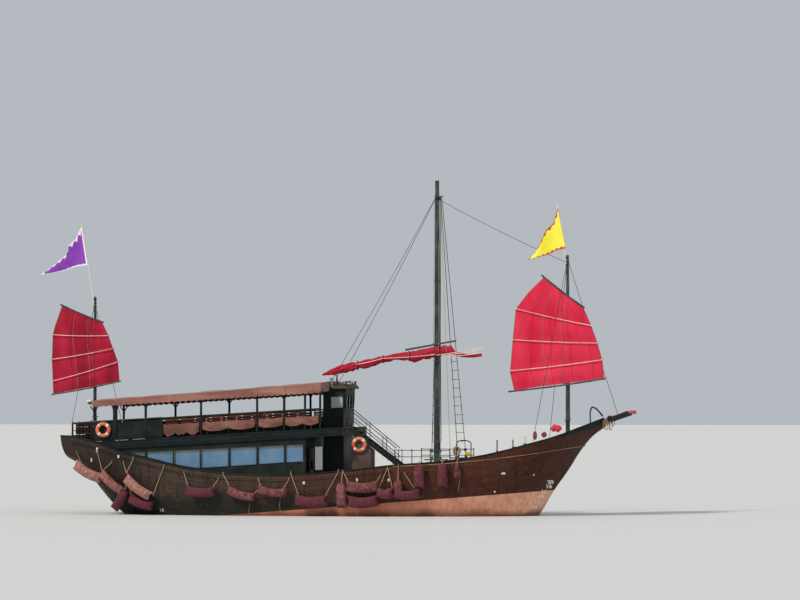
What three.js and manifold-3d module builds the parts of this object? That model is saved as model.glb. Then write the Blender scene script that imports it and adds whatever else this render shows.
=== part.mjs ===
// Chinese junk with sails, a glazed saloon, an upper deck under an awning and a small pilothouse.
// Millimetres. +X bow, +Y port, +Z up. Origin amidships on the centreline, at the waterline.
import * as THREE from 'three';
import { mergeVertices } from 'three/addons/utils/BufferGeometryUtils.js';
import Module from 'manifold-3d';

const wasm = await Module();
wasm.setup();

// Driving dimensions
const gap = 0.4;
const deckSlope = 0.058;
const deckLevel = 3920;
const deckLevelX = -6400;
const fasciaDepth = 420;
const keelHalf = 120;
const bulwark = 120;
const capThick = 70;
const saloon = { aft: -10600, front: -1020, half: 3060, wall: 50, floor: 1350 };
const saloonEntry = { out: -2050, in: -1200, sill: 76, head: 1950, leafFoot: 88, leafTop: 1942 };
const glassThick = 8;
const upperDeck = { aft: -13250, front: 600, half: 3150, slab: 70, fascia: 50 };
const awningSize = { aft: -11860, front: -300, half: 2920, cloth: 14, camber: 130 };
const postY = 2750;
const postSize = 100;
const railHeight = 1000;
const house = { aft: -620, front: 430, rake: 110, half: 1000, wall: 45, sill: 950, head: 1560, eave: 1890 };
const mainMast = { x: 4910, foot: 2340, top: 16400, thick: 170, thin: 100 };
const foreMast = { x: 11420, foot: 3450, top: 12700, thick: 110, thin: 65 };
const mizzenMast = { x: -12590, foot: 3570, top: 10800, thick: 100, thin: 60 };
const rudderAxisX = -10980;
const propeller = { x: -10330, z: -1120, radius: 620, hub: 130 };
const buoy = { ring: 300, tube: 80 };

// Hull sections: x, bottom z, sheer z, half beam, deck z, inner half beam, roundness, fullness
const stations = [
  [-13450, 2680, 3920, 2600, 3080, 2490, 2.6, 3.0],
  [-12900, 2390, 3880, 2800, 3122, 2690, 2.6, 3.0],
  [-12300, 1740, 3760, 2910, 3157, 2800, 2.5, 2.6],
  [-11850, 1080, 3660, 2980, 3183, 2870, 2.4, 2.3],
  [-11380, 470, 3510, 3060, 3210, 2950, 2.3, 2.1],
  [-10900, -20, 3330, 3130, 3225, 3020, 2.2, 1.9],
  [-10660, -130, 3248, 3165, 3165, 3040, 2.2, 1.8],
  [-10620, -150, 3234, 3170, 1350, 3000, 2.2, 1.8],
  [-10200, -360, 3090, 3220, 1350, 3000, 2.3, 1.8],
  [-9000, -780, 2810, 3300, 1350, 3000, 2.5, 1.9],
  [-7570, -1090, 2470, 3400, 1350, 3000, 2.7, 2.1],
  [-6200, -1230, 2240, 3450, 1350, 3000, 2.8, 2.3],
  [-4830, -1300, 2090, 3470, 1350, 3000, 3.0, 2.5],
  [-2300, -1320, 2020, 3480, 1350, 3000, 3.0, 2.5],
  [-1010, -1320, 2075, 3470, 1350, 3000, 3.0, 2.5],
  [-910, -1320, 2085, 3470, 1400, 3350, 3.0, 2.5],
  [1240, -1310, 2270, 3440, 1450, 3320, 2.9, 2.4],
  [3380, -1280, 2515, 3410, 1500, 3290, 2.65, 2.35],
  [3420, -1280, 2520, 3410, 2300, 3290, 2.65, 2.35],
  [5800, -1200, 2710, 3300, 2400, 3180, 2.1, 2.0],
  [7760, -1060, 3000, 3100, 2560, 2980, 1.7, 1.6],
  [8730, -920, 3220, 2900, 2720, 2770, 1.5, 1.4],
  [9300, -680, 3370, 2730, 2850, 2600, 1.4, 1.3],
  [9700, -330, 3490, 2590, 2950, 2460, 1.35, 1.25],
  [10130, 250, 3610, 2400, 3060, 2270, 1.3, 1.2],
  [10690, 1190, 3770, 2150, 3250, 2020, 1.3, 1.2],
  [11400, 2180, 4010, 1810, 3540, 1680, 1.25, 1.15],
  [12110, 3270, 4300, 1400, 3890, 1270, 1.25, 1.15],
  [12660, 3910, 4530, 1050, 4230, 920, 1.2, 1.1],
  [13300, 4370, 4800, 620, 4600, 490, 1.2, 1.1],
];
const sidePoints = 8;
const transomRake = -150;

// Window posts of the saloon, bow to stern
const mullions = [-2040, -3430, -4850, -6290, -7660, -9080, -10160];
const mullionWidth = 110;
const glassTop = (x) => 3205 + 0.05 * (x + 7400);
const glassBottom = (x) => 2310 + 0.065 * (x + 6200);

// Awning posts and shorter rail stanchions on the upper deck
const roofPosts = [-11850, -10740, -9170, -6360, -3520, -2150, -1110, -350];
const railPosts = [-7740, -4960];
const railBars = [260, 600, railHeight - 40];

// Starboard fenders: x and z of one end of the axis, x and z of the other, radius
const fenders = [
  [-12596, 2409, -11482, 1821, 290],
  [-11279, 1990, -10317, 1184, 250],
  [-9912, 1730, -8899, 993, 280],
  [-10165, 1136, -10874, 341, 265],
  [-9810, 789, -8848, 472, 275],
  [-6718, 1216, -5553, 1173, 270],
  [-4641, 1223, -3527, 931, 245],
  [-3122, 1281, -1957, 1138, 245],
  [-1197, 774, 69, 756, 320],
  [930, 1553, 930, 563, 255],
  [1335, 1456, 2601, 1463, 300],
  [1386, 738, 2601, 770, 320],
  [2804, 1168, 3361, 1171, 290],
  [3614, 1098, 4627, 1104, 265],
  [3716, 1718, 3716, 1223, 215],
  [4757, 2470, 4757, 1527, 255],
  [5896, 2500, 5896, 1533, 245],
  [6605, 2576, 6605, 1982, 175],
];

const deckAt = (x) => deckLevel + deckSlope * (x - deckLevelX);
const awningCrown = (x) => 6190 + 0.0745 * (x + 5600);
const valanceFoot = (x) => 5690 + 0.0594 * (x + 6300);

// Solid helpers
function solid(geometry) {
  const bare = new THREE.BufferGeometry();
  const flat = geometry.index ? geometry.toNonIndexed() : geometry;
  bare.setAttribute('position', flat.attributes.position.clone());
  const merged = mergeVertices(bare, 1e-3);
  return new wasm.Manifold(new wasm.Mesh({
    numProp: 3,
    vertProperties: new Float32Array(merged.attributes.position.array),
    triVerts: new Uint32Array(merged.index.array),
  }));
}

function geometryOf(body) {
  const { vertProperties, triVerts } = body.getMesh();
  const geometry = new THREE.BufferGeometry();
  geometry.setAttribute('position', new THREE.BufferAttribute(new Float32Array(vertProperties), 3));
  geometry.setIndex(new THREE.BufferAttribute(new Uint32Array(triVerts), 1));
  return geometry;
}

function join(...geometries) {
  return geometryOf(geometries.map(solid).reduce((sum, next) => sum.add(next)));
}

function cut(geometry, ...tools) {
  return geometryOf(tools.map(solid).reduce((left, tool) => left.subtract(tool), solid(geometry)));
}

function shared(geometry, tool) {
  return geometryOf(solid(geometry).intersect(solid(tool)));
}

// The same piece on the port side
function mirrored(geometry) {
  const copy = geometry.index ? geometry.toNonIndexed() : geometry.clone();
  const p = copy.attributes.position;
  for (let i = 0; i < p.count; i += 3) {
    const a = [p.getX(i), p.getY(i), p.getZ(i)];
    const c = [p.getX(i + 2), p.getY(i + 2), p.getZ(i + 2)];
    p.setXYZ(i, c[0], -c[1], c[2]);
    p.setXYZ(i + 2, a[0], -a[1], a[2]);
    p.setY(i + 1, -p.getY(i + 1));
  }
  return copy;
}

function box(x0, x1, y0, y1, z0, z1) {
  const shape = new THREE.BoxGeometry(x1 - x0, y1 - y0, z1 - z0);
  return shape.translate((x0 + x1) / 2, (y0 + y1) / 2, (z0 + z1) / 2);
}

function outline(points) {
  return new THREE.Shape(points.map(([u, v]) => new THREE.Vector2(u, v)));
}

// Plate lying in the X-Z plane between two values of Y
function plateXZ(points, y0, y1) {
  const shape = new THREE.ExtrudeGeometry(outline(points), { depth: y1 - y0, bevelEnabled: false });
  return shape.rotateX(Math.PI / 2).translate(0, y1, 0);
}

// Plate lying flat between two heights
function plateXY(points, z0, z1) {
  const shape = new THREE.ExtrudeGeometry(outline(points), { depth: z1 - z0, bevelEnabled: false });
  return shape.translate(0, 0, z0);
}

function rod(from, to, radius, sides = 8, radiusEnd = radius) {
  const a = new THREE.Vector3(...from);
  const b = new THREE.Vector3(...to);
  const along = b.clone().sub(a);
  const shape = new THREE.CylinderGeometry(radiusEnd, radius, along.length(), sides);
  const turn = new THREE.Quaternion().setFromUnitVectors(new THREE.Vector3(0, 1, 0), along.normalize());
  shape.applyQuaternion(turn);
  return shape.translate((a.x + b.x) / 2, (a.y + b.y) / 2, (a.z + b.z) / 2);
}

function bar(from, to, width, height) {
  const a = new THREE.Vector3(...from);
  const b = new THREE.Vector3(...to);
  const along = b.clone().sub(a);
  const shape = new THREE.BoxGeometry(along.length(), width, height);
  const side = new THREE.Vector3(0, 0, 1).cross(along).normalize();
  const up = along.clone().cross(side).normalize();
  const turn = new THREE.Matrix4().makeBasis(along.normalize(), side, up);
  shape.applyMatrix4(turn);
  return shape.translate((a.x + b.x) / 2, (a.y + b.y) / 2, (a.z + b.z) / 2);
}

// Closed body through rings of points, its two ends filled in
function loft(rings, capPlane) {
  const count = rings[0].length;
  const positions = rings.flat(2);
  const index = [];
  for (let r = 0; r < rings.length - 1; r++) {
    for (let i = 0; i < count; i++) {
      const a = r * count + i;
      const b = r * count + (i + 1) % count;
      index.push(a, b, b + count, a, b + count, a + count);
    }
  }
  const last = (rings.length - 1) * count;
  for (const [ring, start, flip] of [[rings[0], 0, true], [rings.at(-1), last, false]]) {
    const flat = capPlane && ring.map((p) => new THREE.Vector2(p[capPlane[0]], p[capPlane[1]]));
    const fan = ring.slice(2).map((_, i) => [0, i + 1, i + 2]);
    for (const [a, b, c] of capPlane ? THREE.ShapeUtils.triangulateShape(flat, []) : fan) {
      index.push(...(flip ? [start + c, start + b, start + a] : [start + a, start + b, start + c]));
    }
  }
  const geometry = new THREE.BufferGeometry();
  geometry.setAttribute('position', new THREE.Float32BufferAttribute(positions, 3));
  geometry.setIndex(index);
  return geometry;
}

// Closed tube through points, with a radius at each
function strand(points, radii, sides = 4) {
  const path = points.map((p) => new THREE.Vector3(...p));
  const rings = path.map((p, i) => {
    const ahead = path[Math.min(i + 1, path.length - 1)].clone().sub(path[Math.max(i - 1, 0)]).normalize();
    const side = new THREE.Vector3(0, Math.abs(ahead.z) > 0.7 ? 1 : 0, Math.abs(ahead.z) > 0.7 ? 0 : 1);
    const across = side.cross(ahead).normalize();
    const up = ahead.clone().cross(across);
    return Array.from({ length: sides }, (_, k) => {
      const turn = 2 * Math.PI * (k + 0.5) / sides;
      const point = across.clone().multiplyScalar(Math.cos(turn)).addScaledVector(up, Math.sin(turn));
      return point.multiplyScalar(Array.isArray(radii) ? radii[i] : radii).add(p).toArray();
    });
  });
  return loft(rings);
}

// Lifts a piece drawn on a level deck to the rising deck
function raised(geometry, level = deckAt) {
  const p = geometry.attributes.position;
  for (let i = 0; i < p.count; i++) p.setZ(i, p.getZ(i) + level(p.getX(i)));
  return geometry;
}

// Hull
function sideY(station, z) {
  const [, bottom, railTop, half, , , round, full] = station;
  const sheer = railTop - capThick;
  const t = Math.min(Math.max((z - bottom) / (sheer - bottom), 0), 1);
  const sweep = 1 - (1 - t) ** round;
  return keelHalf + (half - keelHalf) * sweep ** (1 / full);
}

function stationAt(x) {
  let i = 0;
  while (i < stations.length - 2 && stations[i + 1][0] < x) i++;
  const w = (x - stations[i][0]) / (stations[i + 1][0] - stations[i][0]);
  return stations[i].map((value, k) => value + (stations[i + 1][k] - value) * w);
}

function hullRing(station, grow) {
  const [x, bottom, railTop, half, deck, inner] = station;
  const sheer = railTop - capThick;
  const rake = (z) => (x === stations[0][0] ? transomRake * (z - bottom) / (sheer - bottom) : 0);
  const port = [];
  for (let j = 0; j <= sidePoints; j++) {
    const z = bottom + (sheer - bottom) * (j / sidePoints) ** 1.5;
    const y = j === sidePoints ? half : sideY(station, z);
    port.push([y + grow, z + (j === 0 ? -grow : 0)]);
  }
  if (grow > 0) {
    port.push([half + grow, sheer + grow]);
  } else {
    port.push([inner, sheer]);
    port.push([Math.min(inner, sideY(station, deck) - bulwark), deck]);
  }
  return [...port, ...port.map(([y, z]) => [-y, z]).reverse()].map(([y, z]) => [x + rake(z), y, z]);
}

const bowBeamLine = { from: [12100, 500, 4210], to: [14480, 500, 5010], width: 190, height: 210 };

function bowBeam(side, grow) {
  const { from, to, width, height } = bowBeamLine;
  const flip = ([x, y, z]) => [x, side * y, z];
  return bar(flip(from), flip(to), width + grow, height + grow);
}

const engineBay = { aft: -6000, front: -3200, half: 800, floor: 60 };
const stockHole = { radius: 82, low: -600, high: 1100 };

function hullSolid(grow) {
  return loft(stations.map((s) => hullRing(s, grow)), [1, 2]);
}

function hullWithBulwarks() {
  const { aft, front, half, floor } = engineBay;
  const bay = box(aft, front, -half, half, floor, saloon.floor + 10);
  const hole = rod([rudderAxisX, 0, stockHole.low], [rudderAxisX, 0, stockHole.high], stockHole.radius, 12);
  return cut(hullSolid(0), bay, hole, bowBeam(1, 2 * gap), bowBeam(-1, 2 * gap));
}

// Everything above the foredeck, which its bulwarks take up
const foreBulwark = { aft: 3430, above: 1, top: 6000, inner: 420 };

function aboveForedeck(clear) {
  const rows = stations.filter(([x]) => x > foreBulwark.aft);
  const lift = foreBulwark.above + clear;
  const foot = rows.map(([x, , , , deck]) => [x, deck + lift]);
  const first = stations.find(([x]) => x > foreBulwark.aft - 20)[4] + lift;
  const front = rows.at(-1)[0] + 500;
  const start = foreBulwark.aft + clear;
  const side = [[start, first], ...foot, [front, foot.at(-1)[1]], [front, foreBulwark.top], [start, foreBulwark.top]];
  return plateXZ(side, -4000, 4000);
}

function makeHull() {
  return cut(hullWithBulwarks(), aboveForedeck(0));
}

function makeForeBulwark() {
  const starboard = box(3000, 14000, -4000, -foreBulwark.inner, 0, foreBulwark.top);
  return shared(shared(hullWithBulwarks(), aboveForedeck(gap)), starboard);
}

const keelLine = [
  [10050, 100], [9300, -900], [8800, -1500], [8100, -1780], [-9820, -1980], [-11230, -1980],
  [-11230, -1870], [-9980, -1840], [-9900, -1700], [-9900, -300], [-8500, -300], [8600, -300],
];

// Trims the foot of a piece that stands on the hull's decks
function seated(geometry) {
  return cut(geometry, hullWithBulwarks().translate(0, 0, gap));
}

function makeKeel() {
  return cut(plateXZ(keelLine, -100, 100), hullSolid(gap));
}

function makeCapRail() {
  const rings = stations.filter(([x]) => x < 13000).map(([x, , railTop, half, , inner]) => {
    const out = half + 35;
    const beside = x > saloon.aft - 30 && x < saloon.front + 20 ? saloon.half + 4 : 0;
    const within = Math.max(inner - 20, half - 160, beside);
    const rake = x === stations[0][0] ? transomRake : 0;
    const low = railTop - capThick + gap;
    return [[out, low], [out, railTop], [within, railTop], [within, low]].map(([y, z]) => [x + rake, y, z]);
  });
  return mirrored(loft(rings, [1, 2]));
}

function makeBowBeams() {
  const crossbar = bar([13560, -640, 4790], [13560, 640, 4790], 150, 120);
  const planks = plateXY([[12250, -520], [13200, -520], [13200, 520], [12250, 520]], 60, 110);
  raised(planks, (x) => 4210 + (x - 12100) * 0.336);
  return join(bowBeam(1, 0), bowBeam(-1, 0), crossbar, planks);
}

// Saloon
const paneFoot = (x) => Math.min(Math.max(glassBottom(x), stationAt(x)[2] + 10), glassTop(x) - 15);

function windowShape(x0, x1) {
  const corners = [[x0, paneFoot(x0)], [x1, paneFoot(x1)], [x1, glassTop(x1)], [x0, glassTop(x0)]];
  return plateXZ(corners, -4000, 4000);
}

const saloonTop = (x) => deckAt(x) - fasciaDepth + 40;

function makeSaloonWalls() {
  const { aft, front, half, wall, floor } = saloon;
  const entry = saloonEntry;
  const knees = stations.map(([x]) => x).filter((x) => x > aft && x < front);
  const foot = [aft, ...knees, front].map((x) => [x, stationAt(x)[2] - 200]);
  const shell = plateXZ([...foot, [front, saloonTop(front)], [aft, saloonTop(aft)]], -half, half);
  const bulkhead = box(front - wall, front, -2990, 2990, floor + gap, 3000);
  const room = raised(box(aft + wall, front - wall, -half + wall, half - wall, -3500, 200));
  const sides = join(cut(shell, room, hullSolid(gap)), bulkhead);
  const tools = [];
  const edges = [front - 60, ...mullions];
  for (let i = 0; i < edges.length - 1; i++) {
    tools.push(windowShape(edges[i + 1] + mullionWidth / 2, edges[i] - mullionWidth / 2));
  }
  tools.push(box(front - 100, front + 100, entry.out, entry.in, floor + entry.sill, floor + entry.head));
  tools.push(box(front - 100, front + 100, -1000, 1000, 2200, 3350));
  tools.push(box(front - 100, front + 100, 1200, 2800, 2200, 3350));
  tools.push(box(front - 100, front + 100, -2800, entry.out - 150, 2200, 3350));
  return cut(sides, ...tools);
}

function makeSaloonGlass() {
  const out = -(saloon.half - saloon.wall - gap);
  const [a, f] = [mullions.at(-1) - 30, saloon.front - saloon.wall - 12];
  const low = (x) => paneFoot(x) - 30;
  const knees = mullions.filter((x) => x > a && x < f).reverse();
  const foot = [a, ...knees, f].map((x) => [x, low(x)]);
  return plateXZ([...foot, [f, glassTop(f) + 30], [a, glassTop(a) + 30]], out, out + glassThick);
}

function makeFrontGlass() {
  const back = saloon.front - saloon.wall - gap;
  return box(back - glassThick, back, -1030, 2830, 2170, 3380);
}

function makeSaloonDoor() {
  const { front, floor } = saloon;
  const { out, in: inner, leafFoot, leafTop } = saloonEntry;
  const leaf = box(front - 42, front - 4, out + 6, inner - 6, floor + leafFoot, floor + leafTop);
  const pane = box(front - 60, front + 10, out + 120, inner - 120, floor + 900, floor + 1820);
  const grip = inner - 70;
  const handle = rod([front + 40, grip, floor + 950], [front + 40, grip, floor + 1100], 12);
  const stems = [970, 1080].map((up) => rod([front - 20, grip, floor + up], [front + 40, grip, floor + up], 9));
  return join(cut(leaf, pane), handle, ...stems);
}

// Engine under the saloon floor
function makeEngine() {
  const low = engineBay.floor + gap;
  return box(-5700, -3500, -480, 480, low, low + 1050);
}

const hatch = { aft: -6080, front: -3120, half: 880, thick: 45 };

function makeEngineHatch() {
  const low = saloon.floor + 6;
  return box(hatch.aft, hatch.front, -hatch.half, hatch.half, low, low + hatch.thick);
}

// Upper deck
const deckPlan = [
  [upperDeck.aft, 2060], [-12900, 2360], [-12300, 2610], [-11850, 2705], [-11380, 2900], [-10880, 2980],
  [-10665, 2995], [-10640, upperDeck.half], [upperDeck.front, upperDeck.half],
];

function planLoop(inset) {
  const near = deckPlan.map(([x, y], i) => {
    const shift = i === 0 ? inset : i === deckPlan.length - 1 ? -inset : 0;
    return [x + shift, y - inset];
  });
  return [...near.map(([x, y]) => [x, -y]), ...near.reverse()];
}

function makeUpperDeck() {
  const block = plateXY(planLoop(0), -fasciaDepth, 0);
  const hollow = plateXY(planLoop(upperDeck.fascia), -fasciaDepth - 10, -upperDeck.slab);
  const wall = saloonTop(0) + gap - deckAt(0);
  const beams = [-12400, -10920, -9080, -6290, -3430, -1080, 200].map((x) => {
    const reach = x < -12000 ? 2400 : 2700;
    return box(x - 50, x + 50, -reach, reach, wall, -upperDeck.slab / 2);
  });
  const edge = box(saloon.aft, 540, -upperDeck.half, -2700, wall, -upperDeck.slab / 2);
  return raised(join(cut(block, hollow), ...beams, edge, mirrored(edge)));
}

function makeUpperFrame() {
  const pieces = [];
  const headerAt = (x) => awningCrown(x) - awningSize.camber - 130;
  for (const x of roofPosts) {
    const inboard = x < -11000 ? 120 : 0;
    const y = -postY + inboard;
    const r = postSize / 2;
    pieces.push(box(x - r, x + r, y - r, y + r, deckAt(x) + 5, headerAt(x)));
  }
  for (const x of railPosts) {
    pieces.push(box(x - 30, x + 30, -postY - 30, -postY + 30, deckAt(x) + 5, deckAt(x) + railHeight));
  }
  const [aft, front] = [roofPosts[0], roofPosts.at(-1)];
  const yAft = -postY + 120;
  const line = (level, width, height) => [
    bar([aft - 50, yAft, level(aft)], [-10700, -postY, level(-10700)], width, height),
    bar([-10760, -postY, level(-10760)], [front + 50, -postY, level(front)], width, height)];
  pieces.push(...line((x) => headerAt(x) - 50, 80, 110));
  for (const up of railBars) {
    const thick = up === railBars.at(-1) ? 70 : 36;
    pieces.push(...line((x) => deckAt(x) + up, thick, thick));
  }
  return join(...pieces);
}

function makeSternRail() {
  const pieces = [];
  const [aft, side, front] = [-13150, 2010, -11980];
  const corners = [[front, -2600], [aft, -side], [aft, side], [front, 2600]];
  for (const [x, y] of [...corners, [aft, -800], [aft, 800]]) {
    pieces.push(box(x - 40, x + 40, y - 40, y + 40, 5, railHeight));
  }
  for (let i = 0; i < 3; i++) {
    for (const up of railBars) {
      pieces.push(bar([...corners[i], up], [...corners[i + 1], up], 44, up === railBars.at(-1) ? 70 : 36));
    }
  }
  return raised(join(...pieces));
}

function makeAwning() {
  const { aft, front, half, cloth, camber } = awningSize;
  const rings = [aft, front].map((x) => {
    const crown = awningCrown(x);
    const edge = crown - camber;
    const foot = valanceFoot(x);
    const arc = [1, 0.75, 0.5, 0.25, 0, -0.25, -0.5, -0.75, -1];
    const over = arc.map((s) => [x, s * (half - 10), crown - camber * s * s]);
    const under = arc.toReversed().map((s) => [x, s * (half - 10 - cloth), crown - cloth - camber * s * s]);
    const hem = (side, inset) => [x, side * (half - inset), foot];
    const ring = [hem(1, 0), [x, half, edge - 20], ...over, [x, -half, edge - 20], hem(-1, 0),
      hem(-1, cloth), ...under, hem(1, cloth)];
    return ring;
  });
  return loft(rings, [1, 2]);
}

function makeAwningBows() {
  const pieces = [];
  const reach = postY + 60;
  const under = awningSize.cloth + 6;
  for (const x of roofPosts) {
    const arc = [-1, -0.5, 0, 0.5, 1];
    const level = (s) => -under - awningSize.camber * (s * reach / awningSize.half) ** 2;
    const top = arc.map((s) => [s * reach, level(s)]);
    const low = arc.toReversed().map((s) => [s * reach, level(s) - 60]);
    const band = new THREE.ExtrudeGeometry(outline([...top, ...low]), { depth: 60, bevelEnabled: false });
    band.rotateX(Math.PI / 2).rotateZ(Math.PI / 2).translate(x - 30, 0, 0);
    pieces.push(raised(band, awningCrown));
  }
  const ridge = box(roofPosts[0] - 20, roofPosts.at(-1) + 20, -35, 35, -under - 50, -under - 2);
  pieces.push(raised(ridge, awningCrown));
  return join(...pieces);
}

// Seats along the side rails, their backs outboard
function makeSeats() {
  const pieces = [box(-8300, -1250, -2560, -2060, 330, 400)];
  for (let k = 0; k < 9; k++) {
    const x = -8250 + k * 790;
    pieces.push(box(x, x + 700, -2560, -2500, 350, 980));
    pieces.push(box(x + 60, x + 640, -2500, -2080, 390, 470));
    pieces.push(box(x + 40, x + 90, -2540, -2090, 2, 350));
    pieces.push(box(x + 600, x + 650, -2540, -2090, 2, 350));
  }
  return raised(join(...pieces));
}

function makeSternBench() {
  const seat = box(-13050, -12560, -1800, 1800, 380, 450);
  const back = box(-13060, -13000, -1800, 1800, 380, 980);
  const legs = [-1700, -600, 600, 1700].map((y) => box(-13040, -12580, y - 40, y + 40, 2, 400));
  const mastGap = rod([mizzenMast.x, 0, -100], [mizzenMast.x, 0, 900], 130, 12);
  return raised(cut(join(seat, back, ...legs), mastGap));
}

// Canvas dodgers laced along the side rails: aft x, forward x
const dodgers = [[-8250, -6450], [-6270, -3620], [-3430, -2220], [-2080, -420]];

function makeDodgers() {
  const pieces = [];
  for (const [a, f] of dodgers) {
    const arc = [0, 0.25, 0.5, 0.75, 1];
    const top = arc.map((t) => [a + (f - a) * t, 700 - 60 * Math.sin(Math.PI * t)]);
    const low = arc.toReversed().map((t) => [a + (f - a) * t, 330 - 110 * Math.sin(Math.PI * t)]);
    pieces.push(plateXZ([...top, ...low].reverse(), -2858, -2846));
  }
  pieces.push(box(dodgers[0][0], dodgers.at(-1)[1], -2862, -2842, 660, 690));
  return raised(join(...pieces));
}

// Pilothouse
function houseShape(inset, low, high) {
  const { aft, front, rake, eave } = house;
  const lean = (z) => front + rake * z / eave - inset;
  return [[aft + inset, low], [lean(low), low], [lean(high), high], [aft + inset, high]];
}

function makeHouse() {
  const { aft, front, half, wall, sill, head, eave } = house;
  const shell = plateXZ(houseShape(0, gap, eave), -half, half);
  const tools = [plateXZ(houseShape(wall, -100, eave + 100), -half + wall, half - wall)];
  tools.push(box(-240, front - 30, -2 * half, 2 * half, sill, head));
  for (const y of [-610, 0, 610]) tools.push(box(front - 100, front + 300, y - 260, y + 260, sill, head));
  tools.push(box(aft - 50, aft + 100, -350, 350, -100, 1800));
  return raised(cut(shell, ...tools));
}

function makeHouseGlass() {
  const { half, wall, sill, head } = house;
  const inner = half - wall - gap;
  const [low, high] = [sill - 30, head + 30];
  const face = houseShape(wall + gap, low, high);
  const back = houseShape(wall + gap + glassThick, low, high);
  const middle = houseShape(wall + gap + glassThick / 2, low + 3, high - 3);
  const front = plateXZ([back[1], face[1], face[2], back[2]], -inner + 2, inner - 2);
  const corners = [[-280, low + 3], middle[1], middle[2], [-280, high - 3]];
  const side = plateXZ(corners, -inner, -inner + glassThick);
  return raised(join(front, side, mirrored(side)));
}

function makeHouseRoof() {
  const eave = deckAt(0) + house.eave + 45;
  const section = [[-1150, 0], [1150, 0], [1150, 50], [520, 175], [0, 215], [-520, 175], [-1150, 50]];
  const roof = new THREE.ExtrudeGeometry(outline(section), { depth: 1440, bevelEnabled: false });
  return roof.rotateX(Math.PI / 2).rotateZ(Math.PI / 2).translate(-740, 0, eave);
}

function makeHouseDoor() {
  const { aft } = house;
  const leaf = box(aft + 3, aft + 41, -344, 344, 12, 1788);
  const pane = box(aft - 10, aft + 60, -220, 220, 950, 1600);
  const handle = rod([aft - 40, -280, 900], [aft - 40, -280, 1050], 12);
  const stems = [920, 1030].map((up) => rod([aft - 40, -280, up], [aft + 20, -280, up], 9));
  return raised(join(cut(leaf, pane), handle, ...stems));
}

function makeHelmTrunk() {
  return seated(box(-600, 420, -1000, 1000, 1390, 3900));
}

function makeHelm() {
  const desk = box(60, 340, -450, 450, 2, 860);
  const wheel = new THREE.TorusGeometry(300, 22, 4, 12).rotateY(Math.PI / 2).translate(-60, 0, 900);
  const spokes = [0, 1, 2].map((k) => {
    const [y, z] = [300 * Math.cos(k * Math.PI / 3), 300 * Math.sin(k * Math.PI / 3)];
    return rod([-60, -y, 900 - z], [-60, y, 900 + z], 12, 4);
  });
  return raised(join(desk, wheel, ...spokes, rod([-70, 0, 900], [100, 0, 800], 30)));
}

// Stair down to the foredeck, with a locker under its upper half
const stair = { top: [950, 4346], foot: [3440, 2335], near: -2000, far: -1100, treads: 9 };
const stairFall = (stair.foot[1] - stair.top[1]) / (stair.foot[0] - stair.top[0]);
const stairAt = (x) => stair.top[1] + stairFall * (x - stair.top[0]);

function makeStair() {
  const { top, foot, near, far, treads } = stair;
  const pieces = [box(upperDeck.front + gap, top[0] + 60, near, far, 4260, 4330)];
  for (const y of [near + 25, far - 25]) {
    pieces.push(bar([top[0] - 20, y, top[1] - 90], [foot[0], y, foot[1] + 100], 50, 220));
    const rails = [[foot[0] - 30, 940], [foot[0] - 30, 520]];
    for (const [x, up] of rails) {
      pieces.push(bar([top[0], y, top[1] + up - 60], [x, y, stairAt(x) + up - 60], 46, 46));
      pieces.push(bar([upperDeck.front + 40, y, 4330 + up - 40], [top[0] + 20, y, top[1] + up - 64], 46, 46));
    }
    for (const x of [upperDeck.front + 45, top[0], 1780, 2610, foot[0] - 55]) {
      const step = Math.min(stairAt(x), top[1]);
      pieces.push(box(x - 22, x + 22, y - 22, y + 22, step - 60, step + 890));
    }
  }
  for (let k = 1; k <= treads; k++) {
    const x = top[0] + (foot[0] - top[0]) * k / (treads + 1);
    pieces.push(box(x - 130, x + 110, near + 20, far - 20, stairAt(x) - 20, stairAt(x) + 20));
  }
  return join(...pieces);
}

function makeStairLocker() {
  const lid = (x) => stairAt(x) - 290;
  const side = [[1060, 1430], [2020, 1430], [2020, lid(2020)], [1060, lid(1060)]];
  return seated(plateXZ(side, stair.near + 10, stair.far - 10));
}

// Foredeck rails on the bulwarks
function makeDeckRail() {
  const xs = [3460, 4300, 5200, 6150];
  const y = (x) => -(stationAt(x)[5] - 150);
  const foot = (x) => stationAt(x)[4] + 3;
  const pieces = xs.map((x) => rod([x, y(x), foot(x)], [x, y(x), 3230], 24, 4));
  for (let i = 0; i < xs.length - 1; i++) {
    for (const z of [2900, 3210]) {
      pieces.push(rod([xs[i], y(xs[i]), z], [xs[i + 1], y(xs[i + 1]), z], 22, 4));
    }
  }
  return join(...pieces);
}

function makeBuoy(x, y, z, lean) {
  const ring = new THREE.TorusGeometry(buoy.ring, buoy.tube, 6, 16).rotateX(Math.PI / 2);
  return ring.rotateX(lean).translate(x, y, z);
}

// Masts and standing rigging
function makeMast({ x, foot, top, thick, thin }, ...extras) {
  return seated(join(rod([x, 0, foot], [x, 0, top], thick, 12, thin), ...extras));
}

const mainTop = { z: 15590 };

function makeShrouds() {
  const feet = [5300, 5720];
  const heads = [5060, 5120];
  const [yFoot, zFoot] = [-3230, 2765];
  const legs = feet.map((x, i) => ({ a: [x, yFoot, zFoot], b: [heads[i], -170 + i * 20, mainTop.z] }));
  const at = ({ a, b }, t) => a.map((value, k) => value + (b[k] - value) * t);
  const pieces = legs.map(({ a, b }) => rod(a, b, 16, 4));
  for (let z = 3180; z < 7800; z += 440) {
    const t = (z - zFoot) / (mainTop.z - zFoot);
    pieces.push(rod(at(legs[0], t), at(legs[1], t), 13, 4));
  }
  pieces.push(rod([feet[0] - 60, yFoot, zFoot], [feet[1] + 60, yFoot, zFoot], 38));
  pieces.push(rod(at(legs[0], 0.999), at(legs[1], 0.999), 26, 4));
  return join(...pieces);
}

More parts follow.
